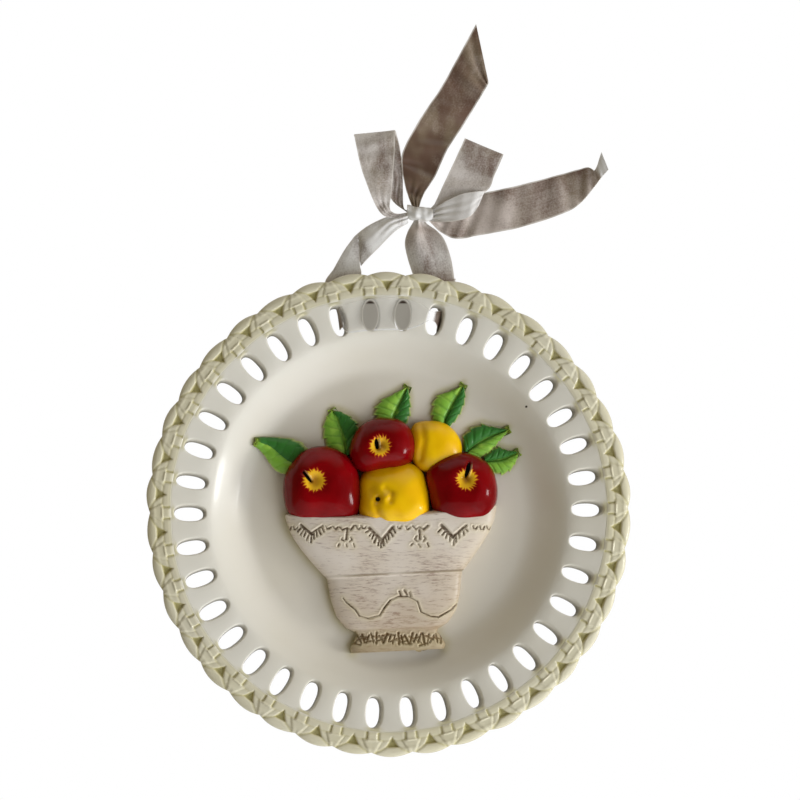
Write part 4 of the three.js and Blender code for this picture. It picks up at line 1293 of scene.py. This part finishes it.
# Over the two holes the cloth is painted as what would show through it: the glaze's colour around each hole,
# grey painted shade within it, and a dark painted shadow at its top (beside).
covered = painted_hole_shade = beside = 0
for bays in (-HALF_BAY, HALF_BAY):
    angle = bays * PITCH - HANGS_TURNED
    hole_x, hole_y = HOLE_RADIUS * sin(angle), HOLE_RADIUS * cos(angle)
    wide = (x - hole_x + COVER_SHIFT[0]) / HOLE_HALF_WIDTH
    long = (y - hole_y + COVER_SHIFT[1]) / HOLE_HALF_LENGTH
    oval = wide**2 + long**2
    covered = covered + (1 - oval.step(1.05, 1.2))
    painted_hole_shade = painted_hole_shade + (1 - oval.step(0.75, 1.15))
    beside = beside + (1 - oval.step(0.7, 1.0)) * (y - hole_y).step(4.0, 4.8)
clear = sheer * (1 - covered)
body = (covered * sheer).mix(body, "cfcabd")
body = (painted_hole_shade * sheer).mix(body, "a8a398")
body = (beside * sheer).mix(body, "33231a")
body = (clear * 0.95).mix(body, "fbfaf6")
lower = side.step(0.86, 0.96)
selvage = abs(side).step(0.91, 0.96)
body = (selvage * (1 - sheer) * 0.75).mix(body, "e0dad0")
thin = 1 - clear * (0.86 - lower * 0.6)
wire(
    shader, Base_Color=body, Roughness=0.42 - painted_sheen * 0.12, Alpha=thin,
    Normal=bumped(grain * 0.3 + crinkle + patches, 0.6),
)
dress(ribbon, taupe_cloth)
hang(ribbon)
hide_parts("ribbon")
print("ribbon finish nodes:", len(taupe_cloth.node_tree.nodes))

# %% [markdown]
# ## Floor and light
# The plate hangs in front of white, and a pale floor lies far below. The world shows plain white to the
# camera, and gives the plate a soft, warm light that is dim in front, where the viewer stands, and brighter
# from the sides and from overhead. A large window-like light grazes the plate from the lower right and makes
# its shading, a small one beside it makes the glints on the glaze, and one behind shows the plate's back.

# %% Floor
FLOOR_SIZE, FLOOR_LEVEL = 5, -1.4
bpy.ops.object.select_all(action="DESELECT")
bpy.ops.mesh.primitive_plane_add(size=FLOOR_SIZE, location=(0, 0, FLOOR_LEVEL))
floor = named("floor")
floor_finish, shader, shade = new_finish("pale_floor")
dust = shade.node("TexCoord", out="Object").noise(3.0)
wire(shader, Base_Color=dust.mix("f3f3f2", "f8f8f7"), Roughness=0.9)
floor.data.materials.append(floor_finish)
print("floor lies at", FLOOR_LEVEL, "m")

# %% Light
PLATE_FRONT = METRES * Vector((PLATE_CENTRE.x, -20, PLATE_CENTRE.y))
LIGHTS = {
    "key_light": dict(place=(1.15, -0.77, -0.6), size=1.8, power=23, colour=(0.94, 1.0, 1.12)),
    "glint_light": dict(place=(1.3, -0.47, -0.3), size=0.3, power=6, colour=(1.0, 1.0, 1.0)),
    "back_light": dict(place=(0.3, 1.5, 0.2), size=1.5, power=16, colour=(0.98, 0.99, 1.0)),
}


def soft_light(name, place, size, power, colour):
    """A square light that faces the plate."""
    bpy.ops.object.light_add(type="AREA", location=place)
    light = bpy.context.object
    light.name = name
    light.data.size, light.data.energy, light.data.color = size, power, colour
    light.rotation_euler = (PLATE_FRONT - light.location).to_track_quat("-Z", "Y").to_euler()
    return light


lights = {name: soft_light(name, **facts) for name, facts in LIGHTS.items()}
lights["key_light"].visible_glossy = lights["back_light"].visible_glossy = False
lights["back_light"].visible_camera = False
print("lights:", sorted(lights))

# %% World
bpy.context.scene.view_settings.view_transform = "Standard"
world = bpy.context.scene.world or bpy.data.worlds.new("studio")
bpy.context.scene.world = world
world.use_nodes = True
sky = Shade(world.node_tree)
seen = sky.node("LightPath", out="Is Camera Ray")
_, back, up = sky.node("TexCoord", out="Generated").parts()
around = back.step(-1.0, 0.1) * 0.15 + 0.07
above = up.step(0.5, 0.95)
tint = (above + back.step(0.0, 0.4)).step(0.0, 1.0).mix("f6dfa6", "f4f2ee")
glow = sky.node("Background", values={"Color": tint, "Strength": around + above * 0.95})
white = sky.node("Background", values={"Color": (1, 1, 1, 1), "Strength": 1.0})
both = sky.node("MixShader", values={0: seen, 1: glow, 2: white})
world.node_tree.links.new(both.socket, world.node_tree.nodes["World Output"].inputs["Surface"])
print("world nodes:", len(world.node_tree.nodes))
